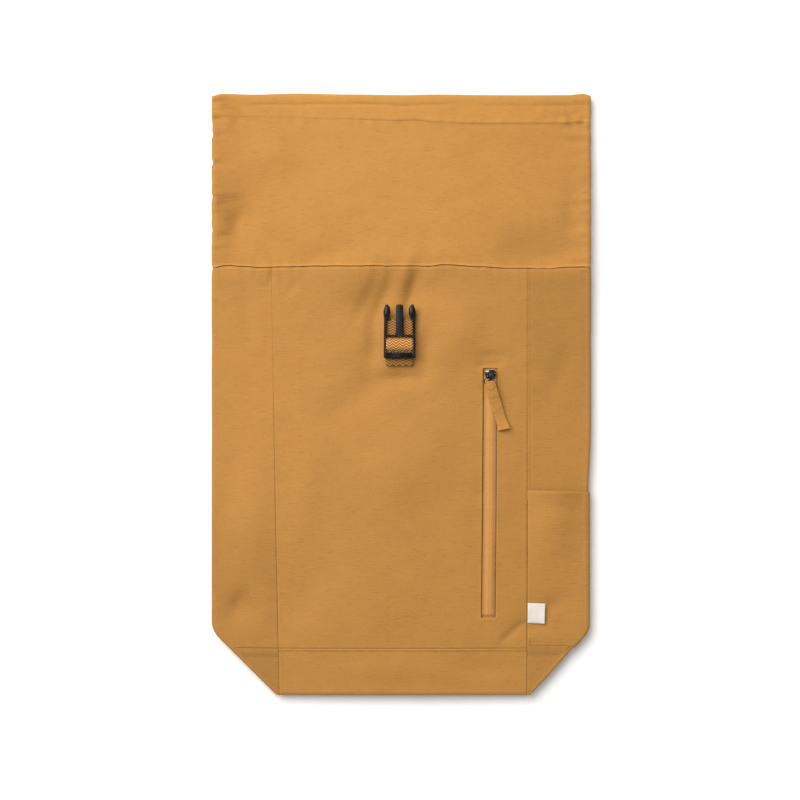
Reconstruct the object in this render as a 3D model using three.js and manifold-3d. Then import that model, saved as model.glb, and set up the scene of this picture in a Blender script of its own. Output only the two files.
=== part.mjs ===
// A canvas rolltop backpack, unrolled and lying flat on its back on a level surface. Millimetres,
// +Z up. The front faces up, the mouth points towards +Y and the bottom towards -Y. The origin is
// on the surface, under the middle of the bag's outline. Gussets are folded outwards along their
// middle, so the flat outline is as wide as the front panel and one gusset, and the base is
// folded inwards between the two layers, which gives the slanted corners.
import * as THREE from 'three';
import { mergeVertices } from 'three/addons/utils/BufferGeometryUtils.js';
import Module from 'manifold-3d';

const wasm = await Module();
wasm.setup();

// Bag
const FRONT_WIDTH = 281; // front panel, from seam to seam
const GUSSET_DEPTH = 143.5; // gusset, from front seam to back seam
const BODY_HEIGHT = 478; // from the bottom edge to the collar seam
const BAND_HEIGHT = 52.6; // from the bottom edge to the band's seam
const COLLAR_HEIGHT = 194; // from the collar seam to the mouth
const HEM_HEIGHT = 29;
const HEM_CLOTH = 2.6; // doubled cloth of the mouth's hem
const CLOTH = 1.6;
const FOLD_RADIUS = 6; // outside of the side folds
const SIDE_LIFT = 3.2; // underside of the side folds above the surface
const LOFT = 17; // crown of the front above the side folds
const CORNER_ROUND = 10; // where the side folds turn into the slanted corners
const TOE_TIP = 4; // gusset left beside the band at the bottom edge
const SEAM_LEAN = 8.7; // the left seam stands further out at the collar than at the bottom
const BASE_FOLD_RADIUS = 2.6; // middle of the wall at the fold of the base

// Clearances
const GAP = 0.3; // between pieces that are sewn edge to edge
const LAY = 0.6; // between pieces that lie on one another

// Side pocket on the right gusset
const POCKET_HEIGHT = 177; // above the band's seam
const POCKET_BELLY = 7;
const POCKET_HEM = 2.2;

// Label in the right seam
const LABEL_RISE = 28.4; // above the band's seam
const LABEL_WIDTH = 19.6;
const LABEL_HEIGHT = 22.7;
const LABEL_THICKNESS = 0.6;
const LABEL_CURL = 2.5;

// Zip
const ZIP_LENGTH = 278;
const ZIP_WINDOW = 16;
const ZIP_RISE = 34.4; // lower end of the window above the band's seam
const ZIP_FROM_SEAM = 42.5; // middle of the zip to the right seam
const ZIP_LEAN = 2;
const TAPE_UNDERLAP = 6;
const TAPE_THICKNESS = 1;
const COIL_WIDTH = 3;
const COIL_THICKNESS = 1.2;
const ZIP_RAMP = 14; // length in which the tape rises at each end of the window
const SLIDER_LENGTH = 14.6;
const SLIDER_WIDTH = 12.3;
const SLIDER_NOSE = 6; // width of the slider's lower end
const SLIDER_PLATE = 2;
const SLIDER_DROP = 1.7; // below the top of the window
const BRIDGE_LENGTH = 9;
const BRIDGE_WIDTH = 2.6;
const BRIDGE_CLEAR = 4;
const BRIDGE_WALL = 1.2;
const RING_RADIUS = 4.6;
const RING_WIRE = 1;
const RING_ROLL = 20; // degrees
const PULLER_LENGTH = 55;
const PULLER_WIDTH = 11.8;
const PULLER_THICKNESS = 1;
const PULLER_EYE = 6.8;
const PULLER_MARGIN = 1.6;
const PULLER_SWING = 17; // degrees from the line of the zip
const PULLER_FLARE = 3;

// Front buckle, the pronged half
const BUCKLE_DROP = 41.8; // prong tips below the collar seam
const BUCKLE_SHIFT = -1.9; // off the middle line
const BUCKLE_WIDTH = 35.3;
const BUCKLE_THICKNESS = 4.4;
const PRONG_LENGTH = 33.6;
const PRONG_HEAD = 15.8;
const PRONG_HEAD_WIDTH = 7.8;
const PRONG_ARM = 2.8;
const TONGUE_WIDTH = 8.3;
const TONGUE_FLARE = 10.4;
const TOP_BAR = 1.8;
const BUCKLE_WINDOW = 17.8;
const CENTRE_BAR = 7;
const CENTRE_BAR_THICKNESS = 1.6;
const LOWER_BAR = 6.6;
const BUCKLE_CORNER = 2.4;

// Webbing of the two buckles
const WEBBING_WIDTH = 30;
const WEBBING = 1.5;
const PATCH_ABOVE = 18.7; // end of the sewn patch above the top bar
const TAIL_SHORT = 2; // the upper layer of the patch ends this much lower
const BEND_BELOW = 7.3; // bend of the loop below the buckle
const BEND_RADIUS = 1.4;

// Closing strap and socket buckle, behind the bag
const CLOSURE_LENGTH = 190;
const SOCKET_WIDTH = 36;
const SOCKET_LENGTH = 50;
const SOCKET_THICKNESS = 9;
const SOCKET_WALL = 2;
const SOCKET_BAR = 3.5;
const SOCKET_BAR_THICKNESS = 1.9;
const SOCKET_SLOT = 5.5;
const SOCKET_WEB = 3;
const SOCKET_SIDE_WINDOW = 14;
const SOCKET_SEWN_TAIL = 35;
const SOCKET_MOUND = 25; // the back layer stays raised this far round the socket
const SOCKET_MOUND_FADE = 42; // and falls back over this length

// Shoulder straps, behind the bag
const PAD_WIDTH = 60;
const PAD_THICKNESS = 7;
const PAD_TO_ANCHOR = 110; // lower end of a pad above the anchor of its webbing
const PAD_FROM_SEAM = 8;
const PAD_TOP_OUT = 52; // middle of the pad off the middle line, at the top
const PAD_LOW_INSIDE = 54; // and inside the back seam, at its lower end
const PAD_BEND = 125; // length over which its lower end turns towards the anchor
const ZONE_MARGIN = 8; // the back layer stays raised this far outside the pads
const PAD_EDGE = 1.6;
const STRAP_WIDTH = 25;
const STRAP_WEBBING = 1.2;
const LOCK_WALL = 3.2;
const LOCK_BAR = 3;
const LOCK_SLOT = 5.2;
const LOCK_BRIDGE = 3.5;
const LOCK_THICKNESS = 1.8;
const LOOP_LENGTH = 14;
const ANCHOR_ABOVE = 42; // anchor of the lower webbing above the bottom edge
const ANCHOR_INSIDE = 12; // and inside the back seam
const STRAP_TAIL = 46;

// Fullness up the bag, at even steps from the bottom edge to the mouth: the front as shares of
// LOFT, the back as shares of its rise over the shoulder straps.
const FULLNESS = [
  { up: 0.0, front: 0.12, back: 0.6 },
  { up: 0.125, front: 0.6, back: 1.0 },
  { up: 0.25, front: 0.92, back: 1.0 },
  { up: 0.375, front: 1.0, back: 1.0 },
  { up: 0.5, front: 0.95, back: 1.0 },
  { up: 0.625, front: 0.8, back: 1.0 },
  { up: 0.75, front: 0.48, back: 1.0 },
  { up: 0.875, front: 0.24, back: 0.4 },
  { up: 1.0, front: 0.1, back: 0.0 },
];

// Dents and folds of the front. across is a share of the half outline width, up of the outline
// height, long and wide of FRONT_WIDTH, deep of LOFT, and turn is in degrees from +Y towards +X.
const FOLDS = [
  { across: -0.09, up: 0.66, turn: 20, long: 0.14, wide: 0.045, deep: -0.14 }, // left of the buckle's pull
  { across: 0.055, up: 0.665, turn: 16, long: 0.1, wide: 0.04, deep: -0.13 }, // right of it
  { across: -0.2, up: 0.55, turn: 40, long: 0.1, wide: 0.06, deep: -0.1 }, // below the buckle
  { across: 0.3, up: 0.62, turn: -50, long: 0.16, wide: 0.07, deep: 0.07 }, // shoulder of the front
  { across: -0.45, up: 0.4, turn: 8, long: 0.4, wide: 0.09, deep: 0.06 }, // long soft swell
  { across: 0.1, up: 0.3, turn: -12, long: 0.35, wide: 0.1, deep: -0.06 }, // long soft hollow
  { across: 0.58, up: 0.11, turn: 45, long: 0.07, wide: 0.035, deep: -0.1 }, // crease by the corner
  { across: -0.82, up: 0.16, turn: 15, long: 0.12, wide: 0.06, deep: -0.1 }, // left gusset, low
  { across: -0.9, up: 0.81, turn: 0, long: 0.09, wide: 0.07, deep: -0.12 }, // collar, left edge
  { across: -0.88, up: 0.97, turn: -55, long: 0.07, wide: 0.035, deep: -0.1 }, // collar, top left
  { across: 0.68, up: 0.755, turn: 70, long: 0.15, wide: 0.06, deep: -0.12 }, // collar, low right
  { across: -0.25, up: 0.85, turn: 60, long: 0.25, wide: 0.09, deep: 0.1 }, // collar, light middle
  { across: 0.45, up: 0.88, turn: -20, long: 0.2, wide: 0.07, deep: -0.07 }, // collar, right
];

// Width of a shoulder pad along its length, as shares of its length and of PAD_WIDTH.
const PAD_OUTLINE = [
  { along: 0.0, wide: 0.9 },
  { along: 0.12, wide: 1.0 },
  { along: 0.35, wide: 1.0 },
  { along: 0.6, wide: 1.0 },
  { along: 0.82, wide: 0.98 },
  { along: 0.92, wide: 0.86 },
  { along: 0.97, wide: 0.66 },
  { along: 1.0, wide: 0.5 },
];

// Height of the puller over the front along its length, as shares of its length and of the
// height of the ring.
const PULLER_DROOP = [
  { along: 0.0, high: 1.0 },
  { along: 0.2, high: 1.0 },
  { along: 0.36, high: 0.7 },
  { along: 0.52, high: 0.24 },
  { along: 0.68, high: 0.0 },
  { along: 0.84, high: 0.0 },
  { along: 1.0, high: 0.0 },
];

const lerp = THREE.MathUtils.lerp;
const degrees = THREE.MathUtils.degToRad;
const clothColumns = { front: 16, back: 11, collar: 16 };
const clothRows = { front: 24, back: 16, gusset: 15, collar: 10, pocket: 12, zip: 13 };
const wrapColumns = { flat: 4, arc: 6 };
const GUSSET_ROW_POWER = 1.3; // rows stand closer towards the slanted corners

const HALF_WIDTH = (FRONT_WIDTH + GUSSET_DEPTH) / 2;
const HALF_HEIGHT = (BODY_HEIGHT + COLLAR_HEIGHT) / 2;
const BOTTOM = -HALF_HEIGHT;
const MOUTH = HALF_HEIGHT;
const BAND_SEAM = BOTTOM + BAND_HEIGHT;
const COLLAR_SEAM = BOTTOM + BODY_HEIGHT;

// Materials
const finish = (color, roughness, metalness = 0) =>
  new THREE.MeshStandardMaterial({ color, roughness, metalness });
const canvas = finish('#c08a4a', 0.95);
const tape = finish('#b88144', 0.85);
const webbing = finish('#b27c40', 0.9);
const plastic = finish('#23272b', 0.5);
const metal = finish('#55565a', 0.35, 1);
const labelCloth = finish('#e6ddd0', 0.9);

// A closed surface whose vertices are shared, as solids need it
function closedSurface(geometry) {
  geometry.deleteAttribute('normal');
  geometry.deleteAttribute('uv');
  const merged = mergeVertices(geometry, 1e-4);
  merged.computeVertexNormals();
  return merged;
}

function toSolid(geometry) {
  const merged = closedSurface(geometry);
  return new wasm.Manifold(new wasm.Mesh({
    numProp: 3,
    vertProperties: new Float32Array(merged.attributes.position.array),
    triVerts: new Uint32Array(merged.index.array),
  }));
}

function toGeometry(solid) {
  const mesh = solid.getMesh();
  const geometry = new THREE.BufferGeometry();
  geometry.setAttribute('position', new THREE.BufferAttribute(new Float32Array(mesh.vertProperties), 3));
  geometry.setIndex(new THREE.BufferAttribute(new Uint32Array(mesh.triVerts), 1));
  geometry.computeVertexNormals();
  return geometry;
}

function block(width, length, height, x, y, z) {
  return new THREE.BoxGeometry(width, length, height).translate(x, y, z);
}

function piece(name, geometry, material) {
  const mesh = new THREE.Mesh(geometry, material);
  mesh.name = name;
  return mesh;
}

// The outward normal of a surface given as a function of two shares, u and v
function normalAt(surface, u, v) {
  const step = 1e-3;
  const across = surface(Math.min(u + step, 1), v).sub(surface(Math.max(u - step, 0), v));
  const along = surface(u, Math.min(v + step, 1)).sub(surface(u, Math.max(v - step, 0)));
  return across.cross(along).normalize();
}

// A wall of cloth: its outer face stands off the surface, and its thickness goes inwards from there
function sheetGeometry(columns, rows, surface, thickness, stand = () => 0) {
  const geometry = new THREE.BoxGeometry(1, 1, 1, columns, rows, 1);
  const place = geometry.attributes.position;
  for (let i = 0; i < place.count; i += 1) {
    const u = place.getX(i) + 0.5;
    const v = place.getY(i) + 0.5;
    const off = stand(u, v) - (0.5 - place.getZ(i)) * thickness(u, v);
    const point = surface(u, v).addScaledVector(normalAt(surface, u, v), off);
    place.setXYZ(i, point.x, point.y, point.z);
  }
  return closedSurface(geometry);
}

// The value at a share of the way through a list of evenly used stations
function atShare(stations, share) {
  const place = share * (stations.length - 1);
  const k = Math.min(Math.floor(place), stations.length - 2);
  return lerp(stations[k], stations[k + 1], place - k);
}

function roundedMin(a, b, radius) {
  const near = Math.max(radius - Math.abs(a - b), 0) / radius;
  return Math.min(a, b) - near * near * radius / 4;
}

// 1 up to half a width from the middle, then a soft fall to 0
function plateau(distance, half, fade) {
  return 1 - THREE.MathUtils.smoothstep(Math.abs(distance), half, half + fade);
}

// Form of the bag

const upShare = (y) => (y - BOTTOM) / (MOUTH - BOTTOM);

function fullnessCurve(column) {
  return new THREE.SplineCurve(FULLNESS.map((row) => new THREE.Vector2(row.up, row[column])));
}
const frontFullness = fullnessCurve('front');
const backFullness = fullnessCurve('back');

// Distance of a panel's side seam from the middle line; side is -1 on the left, 1 on the right
function seamOut(side, y) {
  const lean = side < 0 ? SEAM_LEAN * ((y - BOTTOM) / BODY_HEIGHT - 0.5) : 0;
  return FRONT_WIDTH / 2 + lean;
}

// Distance of the outline from the middle line: the side fold, or the slanted corner below it
function foldOut(side, y) {
  const corner = seamOut(side, BOTTOM) + TOE_TIP;
  const slope = (HALF_WIDTH - corner) / (GUSSET_DEPTH / 2);
  const besidePocket = plateau(y - BAND_SEAM - POCKET_HEIGHT / 2, POCKET_HEIGHT / 2, POCKET_HEIGHT / 3);
  const sideFold = HALF_WIDTH - (side > 0 ? (LAY + POCKET_HEM) * besidePocket : 0);
  return roundedMin(sideFold, corner + (y - BOTTOM) * slope, CORNER_ROUND);
}

function foldRadius(side, y) {
  return Math.min(FOLD_RADIUS, 0.7 * (foldOut(side, y) - seamOut(side, y)));
}

function foldRelief(x, y) {
  let relief = 0;
  for (const fold of FOLDS) {
    const turn = degrees(fold.turn);
    const dx = x - fold.across * HALF_WIDTH;
    const dy = y - lerp(BOTTOM, MOUTH, fold.up);
    const along = (dx * Math.sin(turn) + dy * Math.cos(turn)) / (fold.long * FRONT_WIDTH);
    const aside = (dx * Math.cos(turn) - dy * Math.sin(turn)) / (fold.wide * FRONT_WIDTH);
    relief += fold.deep * Math.exp(-along * along - aside * aside);
  }
  return relief * LOFT;
}

// Outer face of the front layer
function frontHeight(x, y) {
  const side = x < 0 ? -1 : 1;
  const reach = foldOut(side, y) - foldRadius(side, y);
  const across = Math.min(Math.abs(x) / reach, 1);
  const crown = (1 - across ** 2.4) ** 1.3;
  const edge = SIDE_LIFT + 2 * FOLD_RADIUS;
  return edge + LOFT * frontFullness.getPoint(upShare(y)).y * crown
    + foldRelief(x, y) * (1 - across ** 10);
}

// Outer face of the back layer, which lies over the shoulder straps and the socket buckle
const SOCKET_TOP = COLLAR_SEAM - CLOSURE_LENGTH;
const PAD_LOW_OUT = FRONT_WIDTH / 2 - PAD_LOW_INSIDE;
const STRAP_ZONE = PAD_LOW_OUT + PAD_WIDTH / 2 + ZONE_MARGIN;
function backHeight(x, y) {
  const zone = plateau(x, STRAP_ZONE, HALF_WIDTH - FOLD_RADIUS - STRAP_ZONE);
  const rise = (PAD_THICKNESS + LAY - SIDE_LIFT) * backFullness.getPoint(upShare(y)).y * zone;
  const overSocket = plateau(x, SOCKET_WIDTH / 2 + SOCKET_MOUND, SOCKET_MOUND_FADE)
    * plateau(y - SOCKET_TOP + SOCKET_LENGTH / 2, SOCKET_LENGTH / 2 + SOCKET_MOUND, SOCKET_MOUND_FADE);
  return SIDE_LIFT + rise + (SOCKET_THICKNESS - PAD_THICKNESS) * overSocket;
}

// A panel of the front or back layer between two seams
function facePanel(face, columns, rows, leftX, rightX, lowY, highY) {
  const height = face === 'front' ? frontHeight : backHeight;
  const surface = (u, v) => {
    const y = lerp(lowY, highY, v);
    const x = lerp(leftX(y), rightX(y), face === 'front' ? u : 1 - u);
    return new THREE.Vector3(x, y, height(x, y));
  };
  return sheetGeometry(columns, rows, surface, () => CLOTH);
}

// A point round a side fold: turn runs from 0 at its top to pi at its underside
function foldPoint(side, y, turn) {
  const radius = foldRadius(side, y);
  const centre = foldOut(side, y) - radius;
  const top = frontHeight(side * centre, y);
  const under = backHeight(side * centre, y);
  const x = side * (centre + radius * Math.sin(turn));
  return new THREE.Vector3(x, y, lerp(under, top, (1 + Math.cos(turn)) / 2));
}

// A gusset's surface from its front seam, round the side fold, to its back seam
function gussetSurface(side, lowY, highY, rowPower) {
  const { flat, arc } = wrapColumns;
  return (u, v) => {
    const y = lerp(lowY, highY, v ** rowPower);
    const place = (side > 0 ? u : 1 - u) * (2 * flat + arc);
    const seam = seamOut(side, y) + GAP / 2;
    const bend = foldOut(side, y) - foldRadius(side, y);
    if (place > flat && place < flat + arc) {
      return foldPoint(side, y, Math.PI * (place - flat) / arc);
    }
    const front = place <= flat;
    const share = front ? place / flat : (2 * flat + arc - place) / flat;
    const x = side * lerp(seam, bend, share);
    return new THREE.Vector3(x, y, front ? frontHeight(x, y) : backHeight(x, y));
  };
}

function gussetWrap(side, rows, lowY, highY, rowPower = 1) {
  const surface = gussetSurface(side, lowY, highY, rowPower);
  return sheetGeometry(2 * wrapColumns.flat + wrapColumns.arc, rows, surface, () => CLOTH);
}

// Half of the collar: one layer and the near half of both side folds
function collarHalf(face, columns, rows) {
  const quarter = wrapColumns.arc / 2;
  const seamTurn = GAP / 2 / FOLD_RADIUS;
  const surface = (u, v) => {
    const y = lerp(COLLAR_SEAM + GAP / 2, MOUTH, v);
    const place = (face === 'front' ? u : 1 - u) * (2 * quarter + columns);
    const left = place < quarter;
    if (left || place > quarter + columns) {
      const share = left ? 1 - place / quarter : (place - quarter - columns) / quarter;
      const turn = share * (Math.PI / 2 - seamTurn);
      return foldPoint(left ? -1 : 1, y, face === 'front' ? turn : Math.PI - turn);
    }
    const reach = foldOut(1, y) - foldRadius(1, y);
    const x = lerp(-reach, reach, (place - quarter) / columns);
    return new THREE.Vector3(x, y, face === 'front' ? frontHeight(x, y) : backHeight(x, y));
  };
  const hemShare = 1 - HEM_HEIGHT / COLLAR_HEIGHT;
  const wall = (u, v) => (v > hemShare ? HEM_CLOTH : CLOTH);
  return sheetGeometry(2 * quarter + columns, rows, surface, wall);
}

// The base, folded inwards between the bands along its middle
function baseGeometry() {
  const columns = 8;
  const runRows = 3;
  const bendRows = 4;
  const depth = GUSSET_DEPTH / 2 - BASE_FOLD_RADIUS;
  const surface = (u, v) => {
    const place = v * (2 * runRows + bendRows) - runRows;
    const inRun = place < 0 || place > bendRows;
    const share = place < 0 ? 1 + place / runRows : 1 - (place - bendRows) / runRows;
    const turn = Math.PI * THREE.MathUtils.clamp(place / bendRows, 0, 1);
    const y = BOTTOM + (inRun ? share * depth : depth + (BASE_FOLD_RADIUS - CLOTH / 2) * Math.sin(turn));
    const left = -(seamOut(-1, Math.min(y, BAND_SEAM)) - GAP);
    const right = seamOut(1, Math.min(y, BAND_SEAM)) - GAP;
    const x = lerp(right, left, u);
    const inside = CLOTH + LAY + CLOTH;
    const over = frontHeight(x, y) - inside;
    const under = backHeight(x, y) + inside;
    const middle = (over + under) / 2;
    const reach = inRun ? share : 1;
    const spread = lerp((over - under) / 2, BASE_FOLD_RADIUS - CLOTH / 2, reach);
    const lean = place < 0 ? 1 : -1;
    return new THREE.Vector3(x, y, middle + spread * (inRun ? lean : Math.cos(turn)));
  };
  return sheetGeometry(columns, 2 * runRows + bendRows, surface, () => CLOTH);
}

// Side pocket: it follows the gusset from seam to seam and bellies out at its mouth
const POCKET_TOP = BAND_SEAM + POCKET_HEIGHT;
function pocketBelly(frontShare, upward) {
  const across = Math.sin(Math.PI * THREE.MathUtils.clamp(frontShare, 0, 1));
  return POCKET_BELLY * across * upward * upward;
}

function pocketGeometry() {
  const gusset = gussetSurface(1, BAND_SEAM + GAP / 2, POCKET_TOP, GUSSET_ROW_POWER);
  const frontShare = (2 * wrapColumns.flat + wrapColumns.arc) / (wrapColumns.flat + 1);
  const wall = (u, v) => (v > 0.9 ? POCKET_HEM : CLOTH);
  const stand = (u, v) => LAY + wall(u, v) + pocketBelly(u * frontShare, v ** GUSSET_ROW_POWER);
  const columns = 2 * wrapColumns.flat + wrapColumns.arc;
  return sheetGeometry(columns, clothRows.pocket, gusset, wall, stand);
}

// Label: sewn into the right seam over the pocket, its free edge lifted
function labelGeometry() {
  const low = BAND_SEAM + LABEL_RISE;
  const gussetRun = HALF_WIDTH - FOLD_RADIUS - FRONT_WIDTH / 2;
  const surface = (u, v) => {
    const y = low + v * LABEL_HEIGHT;
    const x = seamOut(1, y) + GAP + u * LABEL_WIDTH;
    const upward = (y - BAND_SEAM) / POCKET_HEIGHT;
    const pocket = LAY + CLOTH + pocketBelly((x - seamOut(1, y)) / gussetRun, upward);
    return new THREE.Vector3(x, y, frontHeight(x, y) + pocket + LAY + LABEL_THICKNESS + LABEL_CURL * u * u);
  };
  return sheetGeometry(3, 2, surface, () => LABEL_THICKNESS);
}

// Zip
const ZIP_BOTTOM = BAND_SEAM + ZIP_RISE;
const ZIP_TOP = ZIP_BOTTOM + ZIP_LENGTH;
const zipX = (y) => seamOut(1, y) - ZIP_FROM_SEAM - ZIP_LEAN * ((ZIP_TOP - y) / ZIP_LENGTH - 0.5);

function frontPanelGeometry() {
  const whole = facePanel('front', clothColumns.front, clothRows.front, (y) => -seamOut(-1, y) + GAP / 2,
    (y) => seamOut(1, y) - GAP / 2, BAND_SEAM + GAP / 2, COLLAR_SEAM - GAP / 2);
  const middle = (ZIP_TOP + ZIP_BOTTOM) / 2;
  const window = new THREE.BoxGeometry(ZIP_WINDOW, ZIP_LENGTH, 4 * (LOFT + FOLD_RADIUS));
  window.rotateZ(-Math.atan2(ZIP_LEAN, ZIP_LENGTH));
  window.translate(zipX(middle), middle, frontHeight(zipX(middle), middle));
  return closedSurface(toGeometry(toSolid(whole).subtract(toSolid(window))));
}

// Stations along the zip: under the cloth at each end, rising in the window's first stretch
function zipStations(inner) {
  const stations = [ZIP_BOTTOM - TAPE_UNDERLAP, ZIP_BOTTOM + LAY];
  for (let i = 0; i <= inner; i += 1) {
    stations.push(lerp(ZIP_BOTTOM + ZIP_RAMP, ZIP_TOP - ZIP_RAMP, i / inner));
  }
  stations.push(ZIP_TOP - LAY, ZIP_TOP + TAPE_UNDERLAP);
  return stations;
}

function zipRise(y) {
  const fromEnd = Math.min(y - ZIP_BOTTOM - LAY, ZIP_TOP - LAY - y);
  return THREE.MathUtils.clamp(fromEnd / (ZIP_RAMP - LAY), 0, 1);
}

function tapeGeometry(side) {
  const rows = zipStations(clothRows.zip);
  const sunk = -(CLOTH + LAY);
  const edge = COIL_WIDTH / 2 + GAP;
  const shoulder = ZIP_WINDOW / 2 - 2 * LAY;
  const outs = [edge, (edge + shoulder) / 2, shoulder, ZIP_WINDOW / 2 + TAPE_UNDERLAP];
  const rises = [0.12, -0.3, sunk, sunk];
  const surface = (u, v) => {
    const y = atShare(rows, v);
    const share = side > 0 ? u : 1 - u;
    const x = zipX(y) + side * atShare(outs, share);
    return new THREE.Vector3(x, y, frontHeight(x, y) + lerp(sunk, atShare(rises, share), zipRise(y)));
  };
  return sheetGeometry(outs.length - 1, rows.length - 1, surface, () => TAPE_THICKNESS);
}

function coilGeometry() {
  const rows = zipStations(clothRows.zip);
  const surface = (u, v) => {
    const y = atShare(rows, v);
    const x = zipX(y) + (u - 0.5) * COIL_WIDTH;
    const crest = 0.5 * COIL_THICKNESS * (1 - (2 * u - 1) ** 2);
    return new THREE.Vector3(x, y, frontHeight(x, y) + lerp(-(CLOTH + LAY), crest, zipRise(y)));
  };
  return sheetGeometry(2, rows.length - 1, surface, () => COIL_THICKNESS);
}

// Slider, with its foot plate on the tape and a bridge for the ring; y runs up the zip
function sliderGeometry() {
  const half = SLIDER_WIDTH / 2;
  const nose = SLIDER_NOSE / 2;
  const top = SLIDER_LENGTH / 2;
  const outline = new THREE.Shape();
  outline.moveTo(-nose, -top);
  outline.lineTo(nose, -top);
  outline.lineTo(nose, -top * 0.45);
  outline.quadraticCurveTo(half, 0, half, top * 0.5);
  outline.quadraticCurveTo(half, top, half * 0.4, top);
  outline.lineTo(-half * 0.4, top);
  outline.quadraticCurveTo(-half, top, -half, top * 0.5);
  outline.quadraticCurveTo(-half, 0, -nose, -top * 0.45);
  const bevel = { bevelEnabled: true, bevelThickness: 0.4, bevelSize: 0.4, bevelOffset: -0.4, bevelSegments: 1 };
  const plate = new THREE.ExtrudeGeometry(outline, { depth: SLIDER_PLATE - 0.8, curveSegments: 5, ...bevel });
  plate.translate(0, 0, 0.4);
  const reach = BRIDGE_LENGTH / 2;
  const inner = reach - BRIDGE_WALL;
  const high = BRIDGE_CLEAR + BRIDGE_WALL;
  const arch = new THREE.Shape();
  arch.moveTo(-reach, -SLIDER_PLATE / 2);
  arch.lineTo(-inner, -SLIDER_PLATE / 2);
  arch.lineTo(-inner, BRIDGE_CLEAR * 0.7);
  arch.quadraticCurveTo(-inner, BRIDGE_CLEAR, -inner * 0.6, BRIDGE_CLEAR);
  arch.lineTo(inner * 0.6, BRIDGE_CLEAR);
  arch.quadraticCurveTo(inner, BRIDGE_CLEAR, inner, BRIDGE_CLEAR * 0.7);
  arch.lineTo(inner, -SLIDER_PLATE / 2);
  arch.lineTo(reach, -SLIDER_PLATE / 2);
  arch.lineTo(reach, high * 0.6);
  arch.quadraticCurveTo(reach, high, inner * 0.6, high);
  arch.lineTo(-inner * 0.6, high);
  arch.quadraticCurveTo(-reach, high, -reach, high * 0.6);
  const bridge = new THREE.ExtrudeGeometry(arch, { depth: BRIDGE_WIDTH, curveSegments: 3, bevelEnabled: false });
  bridge.rotateX(Math.PI / 2).rotateZ(Math.PI / 2);
  bridge.translate(-BRIDGE_WIDTH / 2, 0, SLIDER_PLATE);
  return closedSurface(toGeometry(toSolid(plate).add(toSolid(bridge))));
}

const SLIDER_Y = ZIP_TOP - SLIDER_DROP - SLIDER_LENGTH / 2;
const SLIDER_LIFT = COIL_THICKNESS / 2 + GAP;
const RING_HEIGHT = SLIDER_PLATE + BRIDGE_CLEAR / 2;
// The ring hangs at the lower end of the bridge's opening; the puller group starts there
const RING_TOP_Y = -(BRIDGE_LENGTH / 2 - BRIDGE_WALL) + RING_WIRE + 2 * GAP;

function ringGeometry() {
  const ring = new THREE.TorusGeometry(RING_RADIUS, RING_WIRE / 2, 6, 24);
  ring.rotateY(degrees(RING_ROLL));
  ring.translate(0, -RING_RADIUS, RING_HEIGHT);
  return closedSurface(ring);
}

// Puller: a strip of cloth with an eye round the ring; its far end lies on the front
function pullerGeometry() {
  const eyeY = -2 * RING_RADIUS;
  const topY = eyeY + PULLER_EYE / 2 + PULLER_MARGIN;
  const stand = RING_HEIGHT + PULLER_THICKNESS / 2;
  const rest = PULLER_THICKNESS + LAY - SLIDER_LIFT;
  const surface = (u, v) => {
    const along = 1 - v;
    const droop = atShare(PULLER_DROOP.map((row) => row.high), along);
    const flare = PULLER_FLARE * THREE.MathUtils.smoothstep(along, 0.8, 1) * (0.4 + 0.6 * u);
    const wide = PULLER_WIDTH * (1 + 0.12 * THREE.MathUtils.smoothstep(along, 0.8, 1));
    return new THREE.Vector3((u - 0.5) * wide, topY - along * PULLER_LENGTH,
      lerp(rest, stand, droop) + flare);
  };
  const strip = sheetGeometry(4, 12, surface, () => PULLER_THICKNESS);
  const eye = new THREE.CylinderGeometry(PULLER_EYE / 2, PULLER_EYE / 2, 4 * PULLER_THICKNESS, 16);
  eye.rotateX(Math.PI / 2).translate(0, eyeY, RING_HEIGHT);
  return closedSurface(toGeometry(toSolid(strip).subtract(toSolid(eye))));
}

// A group whose plane touches the front from above: x across, y up the bag, z off the cloth
function groupOnFront(x, lowY, highY, lift) {
  const low = frontHeight(x, lowY);
  const high = frontHeight(x, highY);
  let proud = 0;
  for (let i = 1; i < 8; i += 1) {
    proud = Math.max(proud, frontHeight(x, lerp(lowY, highY, i / 8)) - lerp(low, high, i / 8));
  }
  const group = new THREE.Group();
  group.position.set(x, (lowY + highY) / 2, (low + high) / 2 + proud + lift);
  group.rotation.x = Math.atan2(high - low, highY - lowY);
  return group;
}

// Points of a path of straight runs with rounded corners
function roundedPath(corners, radius, steps) {
  const points = [corners[0]];
  for (let i = 1; i < corners.length - 1; i += 1) {
    const here = corners[i];
    const before = corners[i - 1].clone().sub(here);
    const after = corners[i + 1].clone().sub(here);
    const start = here.clone().addScaledVector(before.clone().normalize(), Math.min(radius, before.length() / 2));
    const end = here.clone().addScaledVector(after.clone().normalize(), Math.min(radius, after.length() / 2));
    points.push(...new THREE.QuadraticBezierCurve(start, here, end).getPoints(steps));
  }
  points.push(corners[corners.length - 1]);
  return points.filter((point, i) => i === 0 || point.distanceTo(points[i - 1]) > 1e-3);
}

// Flat webbing along a path whose points are (y, z); its width lies along x
function webbingGeometry(corners, radius, width, thickness) {
  const points = roundedPath(corners.map(([y, z]) => new THREE.Vector2(y, z)), radius, 3);
  const ys = points.map((point) => point.x);
  const zs = points.map((point) => point.y);
  const middle = (u, v) => new THREE.Vector3((u - 0.5) * width, atShare(ys, v), atShare(zs, v));
  return sheetGeometry(1, points.length - 1, middle, () => thickness, () => thickness / 2);
}

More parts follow.
